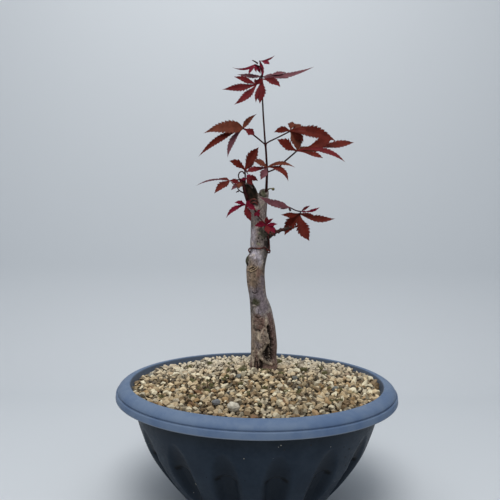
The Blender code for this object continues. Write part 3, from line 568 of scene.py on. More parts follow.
splash_dice = random.Random(SPLASH_SEED)
for name, places, dark, light in (
        ("soil_splashes", SOIL_PLACES, (0.008, 0.006, 0.004), (0.03, 0.022, 0.014)),
        ("lime_splashes", LIME_PLACES, (0.30, 0.28, 0.22), (0.55, 0.52, 0.44))):
    drops = list(places)
    for _ in range(SPLASH_COUNTS[name]):
        drops.append((splash_dice.uniform(*SPLASH_BEARINGS), splash_dice.uniform(*SPLASH_HEIGHTS),
                      splash_dice.uniform(*SPLASH_SIZES)))
    splash_shell = bmesh.new()
    for bearing, height, radius in drops:
        turn = math.radians(bearing)
        outward = Vector((math.cos(turn), math.sin(turn), 0.0))
        start = (outward * THROW_FROM + Vector((0.0, 0.0, height))) * MM
        _, touch, facing, _ = pot.ray_cast(start, -outward)
        spot = Matrix.Translation(touch) @ facing.to_track_quat("Z", "Y").to_matrix().to_4x4()
        stretched = radius * splash_dice.uniform(*SPLASH_STRETCH)
        spot = spot @ Matrix.Diagonal((radius, stretched, radius * SPLASH_FLATNESS, 1.0))
        bmesh.ops.create_uvsphere(splash_shell, u_segments=SPLASH_SIDES, v_segments=SPLASH_ROWS, radius=MM,
                                  matrix=spot)
    splash_mesh = bpy.data.meshes.new(name)
    splash_shell.to_mesh(splash_mesh)
    splash_shell.free()
    splash_mesh.shade_smooth()
    splashes = link_object(name, splash_mesh, mottled_material(name, 500.0, dark, light, 0.9)[0])
    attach(splashes, "root")
    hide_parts("pot")

# The gravel: loose angular grains of 4 to 9 mm, mostly cream and tan with some ochre,
# grey and brown, heaped a little round the trunk, over the fines that lie under them.
BED_LEVEL = 142.0
TRUNK_FOOT = (9.0, 45.0)
MOUND_HEIGHT = 150.0
MOUND_SEAT_RADIUS = 20.0
MOUND_RADIUS = 95.0
BED_EDGE_RADIUS = 147.2
EDGE_GAPS = ((0.0, 1.5), (45.0, 0.8), (90.0, 0.5), (135.0, 3.5), (180.0, 4.0), (225.0, 3.0), (270.0, 0.5),
             (315.0, 1.0), (360.0, 1.5))
BED_RING_STEP = 3.0
BED_SIDES = 96
BED_WANDER = 2.0
BED_WANDER_RATE = 0.05
GRAIN_SHAPES = 9
GRAIN_POINTS = 15
GRAIN_RADIUS = 4.0
GRAIN_SQUASH = ((0.85, 1.2), (0.75, 1.0), (0.6, 0.85))
GRAIN_UNEVENNESS = (0.9, 1.05)
GRAIN_SIZES = (0.5, 1.4)
GRAIN_SIZE_LEAN = 1.5
GRAIN_TILT = 0.7
GRAIN_DENSITY = 90000.0
GRAIN_SHARP_ANGLE = 34.0
GRAIN_EDGE_GAP = 2.4
# Painted light: towards the back the grains are painted paler, as better lit; towards the front they turn
# darker and browner.
FAR_GRAINS = (-0.02, 0.12)
NEAR_GRAINS = (-0.03, -0.13)
FINES_SINK = 9.0
# Each layer: how far it sinks, how far apart its grains lie, its seed, and how much painted shade darkens its
# grains, which lie deeper in the gaps.
GrainLayer = namedtuple("GrainLayer", "sink spacing seed dirt")
GRAIN_LAYERS = (GrainLayer(2.8, 5.8, 5, 0.0), GrainLayer(5.4, 5.2, 6, 0.68), GrainLayer(8.2, 5.2, 7, 0.90))
GRAVEL_SEED = 11
GrainKind = namedtuple("GrainKind", "name share colour spread")
GRAIN_KINDS = (
    GrainKind("cream", 0.25, (0.687, 0.529, 0.305), 0.10),
    GrainKind("sand", 0.20, (0.518, 0.384, 0.205), 0.09),
    GrainKind("pale_grey", 0.14, (0.577, 0.494, 0.339), 0.07),
    GrainKind("ochre", 0.11, (0.432, 0.268, 0.108), 0.08),
    GrainKind("white", 0.13, (0.865, 0.757, 0.525), 0.05),
    GrainKind("tan", 0.11, (0.219, 0.138, 0.058), 0.05),
    GrainKind("rust", 0.01, (0.250, 0.125, 0.052), 0.04),
    GrainKind("brown", 0.04, (0.091, 0.063, 0.033), 0.03),
    GrainKind("slate", 0.01, (0.128, 0.137, 0.128), 0.03),
)


def bed_height(x, y):
    """Top of the gravel: uneven at the rim, with a mound that the trunk stands in."""
    gap = smooth_value(EDGE_GAPS, math.degrees(math.atan2(y, x)) % 360.0)[0]
    level = BED_LEVEL + (POT_HEIGHT - gap - BED_LEVEL) * (math.hypot(x, y) / BED_EDGE_RADIUS) ** 3
    away = math.hypot(x - TRUNK_FOOT[0], y - TRUNK_FOOT[1])
    share = min(max((away - MOUND_SEAT_RADIUS) / (MOUND_RADIUS - MOUND_SEAT_RADIUS), 0.0), 1.0)
    blend = share * share * (3.0 - 2.0 * share)
    return MOUND_HEIGHT + (level - MOUND_HEIGHT) * blend


def bed_mesh(name, sink, edge):
    """A round sheet that follows the top of the gravel, so far below it."""
    shell = bmesh.new()
    bmesh.ops.create_circle(shell, cap_ends=True, segments=BED_SIDES, radius=edge * MM)
    bmesh.ops.poke(shell, faces=shell.faces)
    cuts = round(edge / BED_RING_STEP)
    spokes = [item for item in shell.edges if min(v.co.length for v in item.verts) < MM]
    bmesh.ops.subdivide_edges(shell, edges=spokes, cuts=cuts)
    for vertex in shell.verts:
        x, y = vertex.co.x / MM, vertex.co.y / MM
        wander = noise.noise(Vector((x, y, 0.0)) * BED_WANDER_RATE) * BED_WANDER
        vertex.co.z = (bed_height(x, y) - sink + wander) * MM
    bmesh.ops.recalc_face_normals(shell, faces=shell.faces)
    mesh = bpy.data.meshes.new(name)
    shell.to_mesh(mesh)
    shell.free()
    return mesh


def grain_mesh(name, dice):
    """One grain: the hull of a few points scattered on an uneven ball."""
    shell = bmesh.new()
    squash = Vector([dice.uniform(*limits) for limits in GRAIN_SQUASH])
    for _ in range(GRAIN_POINTS):
        point = Vector((dice.gauss(0, 1), dice.gauss(0, 1), dice.gauss(0, 1))).normalized()
        shell.verts.new(point * squash * GRAIN_RADIUS * dice.uniform(*GRAIN_UNEVENNESS) * MM)
    hull = bmesh.ops.convex_hull(shell, input=shell.verts)
    loose = [item for item in hull["geom_interior"] if isinstance(item, bmesh.types.BMVert)]
    bmesh.ops.delete(shell, geom=loose, context="VERTS")
    bmesh.ops.recalc_face_normals(shell, faces=shell.faces)
    mesh = bpy.data.meshes.new(name)
    shell.to_mesh(mesh)
    shell.free()
    mesh.shade_smooth()
    mesh.set_sharp_from_angle(angle=math.radians(GRAIN_SHARP_ANGLE))
    return mesh


def gravel_tree():
    """Scatters grains over a sheet and keeps those whose lot falls between two limits."""
    tree, given, result = geometry_tree("scattered_grains", [
        ("Grains", "NodeSocketCollection"), ("Spacing", "NodeSocketFloat"), ("Seed", "NodeSocketInt"),
        ("Lot From", "NodeSocketFloat"), ("Lot To", "NodeSocketFloat"), ("Smallest", "NodeSocketFloat"),
        ("Largest", "NodeSocketFloat"), ("Dirt", "NodeSocketFloat"), ("Material", "NodeSocketMaterial")])
    scatter = put_node(tree, "GeometryNodeDistributePointsOnFaces", {
        "Mesh": given["Geometry"], "Distance Min": given["Spacing"], "Density Max": GRAIN_DENSITY,
        "Seed": given["Seed"]}, distribute_method="POISSON")
    lot = put_node(tree, "FunctionNodeRandomValue", {"Seed": 1}).outputs[1]
    below = put_node(tree, "FunctionNodeCompare", {0: lot, 1: given["Lot From"]}, operation="LESS_THAN")
    past = put_node(tree, "FunctionNodeCompare", {0: lot, 1: given["Lot To"]}, operation="GREATER_EQUAL")
    outside = put_node(tree, "FunctionNodeBooleanMath", {0: below.outputs[0], 1: past.outputs[0]},
                       operation="OR").outputs[0]
    kept = put_node(tree, "GeometryNodeDeleteGeometry", {"Geometry": scatter.outputs["Points"],
                                                         "Selection": outside}).outputs[0]
    shapes = put_node(tree, "GeometryNodeCollectionInfo", {"Collection": given["Grains"],
                                                           "Separate Children": True,
                                                           "Reset Children": True}).outputs[0]
    turn = put_node(tree, "FunctionNodeRandomValue", {
        "Min": (0.0, 0.0, 0.0), "Max": (GRAIN_TILT, GRAIN_TILT, math.tau), "Seed": 2},
        data_type="FLOAT_VECTOR").outputs[0]
    size = put_node(tree, "FunctionNodeRandomValue", {"Seed": 3}).outputs[1]
    size = maths(tree, "POWER", size, GRAIN_SIZE_LEAN)
    size = put_node(tree, "ShaderNodeMapRange", {"Value": size, "To Min": given["Smallest"],
                                                 "To Max": given["Largest"]}).outputs[0]
    laid = put_node(tree, "GeometryNodeInstanceOnPoints", {
        "Points": kept, "Instance": shapes, "Pick Instance": True, "Rotation": turn,
        "Scale": size}).outputs[0]
    real = put_node(tree, "GeometryNodeRealizeInstances", {"Geometry": laid}).outputs[0]
    # Notes on each grain how much painted shade it takes, for the deeper layers in the gaps.
    return end_tree(tree, note_value(tree, real, "dirt", given["Dirt"]), given["Material"], result)


def grain_material(kind):
    """Weathered gritty stone of one colour, a little uneven, with painted light at the back and painted shade
    in gaps.
    """
    material, tree, shader = new_material("gravel_" + kind.name)
    place = object_place(tree)
    lighter = tuple(min(value + kind.spread, 0.9) for value in kind.colour)
    darker = tuple(value * 0.66 for value in kind.colour)
    colour = mix_colour(tree, mottling(tree, place, 130.0), darker, lighter)
    grit = specks(tree, place, 900.0, 0.3, 0.18)
    colour = tint(tree, colour, grit, 0.55, tuple(value * 0.35 for value in kind.colour))
    depth = split(tree, place)["Y"]
    # Painted light makes the grains paler towards the back; towards the front they turn darker and browner.
    colour = tint(tree, colour, ramp(tree, depth, *FAR_GRAINS), 0.66, (0.78, 0.70, 0.55))
    colour = tint(tree, colour, ramp(tree, depth, *NEAR_GRAINS), 0.36, (0.12, 0.075, 0.035))
    # Painted shade on the deeper grains, seen in the gaps between the top ones.
    colour = mix_colour(tree, noted_mask(tree, "dirt"), colour, (0.036, 0.025, 0.014))
    tree.links.new(colour, shader.inputs["Base Color"])
    shader.inputs["Roughness"].default_value = 0.88
    add_bump(tree, shader, roughening(tree, place, 700.0, 4.0), 0.5, 0.0006)
    return material


fines, fines_tree, fines_shader, fines_cloud = mottled_material(
    "gravel_fines", 300.0, (0.018, 0.013, 0.008), (0.06, 0.042, 0.025), 0.95)
add_bump(fines_tree, fines_shader, fines_cloud, 0.8, 0.002)
fines_bed = link_object("gravel_fines", bed_mesh("gravel_fines", FINES_SINK, BED_EDGE_RADIUS), fines)
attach(fines_bed, "root")
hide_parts("gravel_bed")

grain_dice = random.Random(GRAVEL_SEED)
grain_home = bpy.data.collections.new("grain_shapes")
for shape in range(GRAIN_SHAPES):
    grain_home.objects.link(bpy.data.objects.new(f"grain_{shape}", grain_mesh(f"grain_{shape}", grain_dice)))
grain_scatter = gravel_tree()
lot_start = 0.0
for kind in GRAIN_KINDS:
    grain_paint = grain_material(kind)
    layers = []
    for layer in GRAIN_LAYERS:
        base = bed_mesh("grain_layer", layer.sink, BED_EDGE_RADIUS - GRAIN_EDGE_GAP)
        sheet = link_object("grain_layer", base)
        run_tree(sheet, grain_scatter, {
            "Grains": grain_home, "Spacing": layer.spacing * MM, "Seed": layer.seed, "Lot From": lot_start,
            "Lot To": lot_start + kind.share, "Smallest": GRAIN_SIZES[0], "Largest": GRAIN_SIZES[1],
            "Dirt": layer.dirt, "Material": grain_paint})
        layers.append(sheet)
    joined = bmesh.new()
    for sheet in layers:
        joined.from_mesh(sheet.data)
        bpy.data.objects.remove(sheet, do_unlink=True)
    mesh = bpy.data.meshes.new("gravel_" + kind.name)
    joined.to_mesh(mesh)
    joined.free()
    heap = link_object("gravel_" + kind.name, mesh, grain_paint)
    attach(heap, "root")
    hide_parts("gravel_bed")
    lot_start += kind.share
for shape in list(grain_home.objects):
    bpy.data.objects.remove(shape, do_unlink=True)
bpy.data.collections.remove(grain_home)

# Moss: low tufts of short green sprigs that have settled between the grains and stay
# small where the gravel dries out.
MOSS_TUFTS = ((78.0, -83.0, 3.5), (-77.0, -4.0, 5.0), (-18.0, 24.0, 7.0), (46.0, -49.0, 3.0),
              (10.0, 18.0, 6.0), (87.0, -82.0, 4.0), (-36.0, 69.0, 4.0), (-36.0, 6.0, 4.0), (61.7, 42.0, 6.0),
              (30.0, 11.0, 4.5), (-104.0, -71.0, 4.0), (108.0, -54.0, 3.5), (-56.0, -49.0, 3.0),
              (32.0, 84.0, 6.0), (-64.0, 92.0, 5.0))
MOSS_SHARE = 0.8
MOSS_SUBDIVISIONS = 3
MOSS_SPREAD = 34
MOSS_SEED = 29
MOSS_ACROSS = (-95.0, 95.0)
MOSS_AWAY = (-100.0, 90.0)
MOSS_SIZES = (1.8, 3.4)
MOSS_SINK = 1.2
MOSS_FLATNESS = 0.3
MOSS_LUMPS = 2.6
MOSS_LUMP_RATE = 400.0
SPRIG_SIDES = 5
SPRIG_SIZES = (0.5, 1.2)
MOSS_VALUES = {"Spacing": 0.75 * MM, "Sprig Height": 2.6 * MM, "Sprig Radius": 0.42 * MM, "Tilt": 0.8,
               "Seed": 3}


def moss_tree():
    """Stands short tilted sprigs all over a few low cushions."""
    labels = [(label, "NodeSocketFloat") for label in MOSS_VALUES if label != "Seed"]
    labels += [("Seed", "NodeSocketInt"), ("Material", "NodeSocketMaterial")]
    tree, given, result = geometry_tree("moss_sprigs", labels)
    density = maths(tree, "DIVIDE", 1.0, times(tree, given["Spacing"], given["Spacing"]))
    scatter = put_node(tree, "GeometryNodeDistributePointsOnFaces", {
        "Mesh": given["Geometry"], "Distance Min": given["Spacing"], "Density Max": density,
        "Seed": given["Seed"]}, distribute_method="POISSON")
    sprig = put_node(tree, "GeometryNodeMeshCone", {
        "Vertices": SPRIG_SIDES, "Radius Bottom": given["Sprig Radius"],
        "Depth": given["Sprig Height"]}).outputs["Mesh"]
    negative = times(tree, given["Tilt"], -1.0)
    lean_low = put_node(tree, "ShaderNodeCombineXYZ", {"X": negative, "Y": negative}).outputs[0]
    lean_high = put_node(tree, "ShaderNodeCombineXYZ", {"X": given["Tilt"], "Y": given["Tilt"],
                                                        "Z": math.tau}).outputs[0]
    lean = put_node(tree, "FunctionNodeRandomValue", {"Min": lean_low, "Max": lean_high, "Seed": 8},
                    data_type="FLOAT_VECTOR").outputs[0]
    size = put_node(tree, "FunctionNodeRandomValue", {
        2: SPRIG_SIZES[0], 3: SPRIG_SIZES[1], "Seed": 9}).outputs[1]
    stood = put_node(tree, "GeometryNodeInstanceOnPoints", {
        "Points": scatter.outputs["Points"], "Instance": sprig, "Rotation": lean, "Scale": size}).outputs[0]
    return end_tree(tree, stood, given["Material"], result)


moss_dice = random.Random(MOSS_SEED)
moss_spots = [(x, y, size * MOSS_SHARE) for x, y, size in MOSS_TUFTS]
for _ in range(MOSS_SPREAD):
    moss_spots.append([moss_dice.uniform(*limits) for limits in (MOSS_ACROSS, MOSS_AWAY, MOSS_SIZES)])
moss_shell = bmesh.new()
for x, y, size in moss_spots:
    spot = Matrix.Translation(Vector((x, y, bed_height(x, y) - MOSS_SINK)) * MM)
    spot = spot @ Matrix.Diagonal((1.0, 1.0, MOSS_FLATNESS, 1.0))
    bmesh.ops.create_icosphere(moss_shell, subdivisions=MOSS_SUBDIVISIONS, radius=size * MM, matrix=spot)
for vertex in moss_shell.verts:
    lump = noise.noise(vertex.co * MOSS_LUMP_RATE) * MOSS_LUMPS
    vertex.co += vertex.co.normalized() * lump * MM
moss_base = bpy.data.meshes.new("moss_tufts")
moss_shell.to_mesh(moss_base)
moss_shell.free()
moss_paint, moss_nodes, moss_shader, moss_cloud = mottled_material(
    "moss_green", 260.0, (0.080, 0.073, 0.029), (0.232, 0.218, 0.092), 0.9)
add_bump(moss_nodes, moss_shader, moss_cloud, 0.4, 0.0003)
moss = link_object("moss_tufts", moss_base)
run_tree(moss, moss_tree(), {**MOSS_VALUES, "Material": moss_paint})
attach(moss, "root")
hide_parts("gravel_bed")

# Loose stones: a large pale pebble and a smaller blue grey one, both worn round, that lie
# loose on the grains at the front of the bed.
PEBBLE_SUBDIVISIONS = 4
PEBBLE_LUMPS = 0.22
PEBBLE_LUMP_RATE = 1.3
PEBBLES = (("pale_pebble", (-24.5, -119.0, 145.5), (6.2, 5.2, 4.6), (0.86, 0.80, 0.66), 21),
           ("blue_grey_pebble", (-42.5, -100.8, 144.4), (4.6, 3.8, 3.0), (0.15, 0.18, 0.21), 22))


def finish_shell(name, shell):
    """Turn a bmesh into a smooth-shaded mesh whose faces look outward."""
    bmesh.ops.recalc_face_normals(shell, faces=shell.faces)
    mesh = bpy.data.meshes.new(name)
    shell.to_mesh(mesh)
    shell.free()
    mesh.shade_smooth()
    return mesh


for name, middle, reach, colour, seed in PEBBLES:
    stone = bmesh.new()
    bmesh.ops.create_icosphere(stone, subdivisions=PEBBLE_SUBDIVISIONS, radius=1.0)
    for vertex in stone.verts:
        spot = vertex.co * PEBBLE_LUMP_RATE + Vector((seed, 0.0, 0.0))
        lump = 1.0 + PEBBLE_LUMPS * noise.fractal(spot, 1.0, 2.0, 4)
        vertex.co = (Vector(middle) + vertex.co * lump * Vector(reach)) * MM
    stone_paint = grain_material(GrainKind(name, 0.0, colour, 0.06))
    pebble = link_object(name, finish_shell(name, stone), stone_paint)
    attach(pebble, "root")
    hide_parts("gravel_bed")

# The trunk with its two boughs: one living stem with smooth grey brown bark that has
# healed over old cuts, a deep groove up the front and a dark dead stub at the left.
TRUNK_STATIONS = (
    (140.0, 9.0, 45.0, 42.0), (149.0, 9.0, 45.0, 37.5), (153.0, 9.0, 45.0, 34.8), (164.0, 9.6, 45.0, 33.8),
    (176.0, 10.0, 45.0, 34.0), (200.0, 8.5, 45.0, 31.7), (217.0, 6.3, 44.5, 28.8), (229.0, 4.1, 44.0, 26.0),
    (242.0, 1.0, 43.5, 22.6), (259.0, -1.5, 43.0, 23.6), (275.0, -2.3, 43.5, 24.0), (288.0, -0.6, 44.5, 24.6),
    (299.0, 2.1, 45.0, 24.1), (312.0, 3.0, 45.0, 23.9), (325.0, 2.2, 45.0, 22.6), (342.0, 1.1, 45.5, 20.6),
    (355.0, 0.6, 46.0, 22.6), (362.0, 1.8, 46.0, 20.8), (369.0, 6.2, 46.0, 14.6), (376.0, 7.6, 46.0, 12.6),
    (381.5, 8.2, 46.0, 11.7),
)
Swelling = namedtuple("Swelling", "height bearing rise reach sweep")
SWELLINGS = (
    Swelling(288.0, 190.0, 2.6, 7.0, 34.0), Swelling(226.0, -10.0, 0.5, 12.0, 40.0),
    Swelling(192.0, -88.0, 1.2, 8.0, 22.0), Swelling(180.0, -108.0, 0.9, 20.0, 14.0),
    Swelling(154.0, -140.0, 1.6, 8.0, 26.0), Swelling(154.0, -20.0, 1.6, 8.0, 26.0),
    Swelling(154.0, 95.0, 1.8, 8.0, 30.0), Swelling(236.0, 80.0, 1.8, 9.0, 36.0),
    Swelling(312.0, 150.0, 1.6, 7.0, 30.0), Swelling(268.0, 110.0, -1.4, 9.0, 22.0),
)
LEFT_BOUGH = (((-1.0, 46.0, 346.0), 8.0), ((-2.0, 46.0, 352.0), 8.2), ((-5.0, 46.0, 364.0), 8.8),
              ((-8.2, 46.0, 372.0), 8.4), ((-9.8, 46.0, 377.5), 7.7), ((-11.4, 46.0, 382.0), 6.8),
              ((-13.3, 45.6, 388.6), 5.0))
RIGHT_BOUGH = (((4.0, 44.0, 316.5), 6.2), ((12.0, 43.5, 318.6), 5.2), ((18.6, 43.0, 321.8), 3.4),
               ((24.0, 42.6, 324.4), 2.5), ((30.0, 42.4, 326.5), 2.1), ((38.0, 42.0, 329.0), 2.2),
               ((47.5, 42.0, 331.0), 2.3))
TRUNK_ROWS = 160
TRUNK_SIDES = 96
CUT_HEIGHT = 371.5
CUT_SLOPE = 0.75
CUT_FRONT = 38.0
BOUGH_STEPS = 6
LEFT_BOUGH_SIDES = 40
RIGHT_BOUGH_SIDES = 24
BARK_GRID = 0.62
BARK_EASE = 0.5
BARK_SMOOTHING = 5
MARK_EDGE = 0.75
MARK_WANDER = 0.6
MARK_WANDER_RATE = 0.4
FRONT_TURN = (0.05, 0.45)
BARK_RELIEF = {"Fibre Scale": 330.0, "Fibre Stretch": 0.22, "Fibre Depth": 0.9 * MM,
               "Wrinkle Scale": 260.0, "Wrinkle Stretch": 3.2, "Wrinkle Depth": 0.45 * MM,
               "Grain Scale": 1100.0, "Grain Depth": 0.3 * MM}
# Where the bark's colours change, in metres up or across, as its material sees them.
BROWN_FOOT = (0.240, 0.256)
BROWN_HEAD = (0.286, 0.272)
LOW_BARK = (0.222, 0.205)
HIGH_BARK = (0.296, 0.306)
DEAD_FOOT = (0.356, 0.368)
DEAD_SIDE = (0.001, -0.003)
DOTTED_BARK = (0.245, 0.205)
# Depths of the relief, in millimetres, over which painted shade darkens its hollows.
RELIEF_SHADE_DEPTHS = (-0.05, -0.28)
BARK_TINTS = {
    "lilac": (0.430, 0.385, 0.420), "mauve": (0.152, 0.124, 0.138), "ochre": (0.165, 0.112, 0.070),
    "wine": (0.125, 0.072, 0.066), "brown": (0.150, 0.086, 0.068), "black": (0.013, 0.008, 0.006),
    "pale": (0.44, 0.36, 0.27), "cream": (0.42, 0.31, 0.19), "dark": (0.012, 0.008, 0.006),
    "moss": (0.075, 0.073, 0.043), "moss_pale": (0.20, 0.20, 0.12),
}
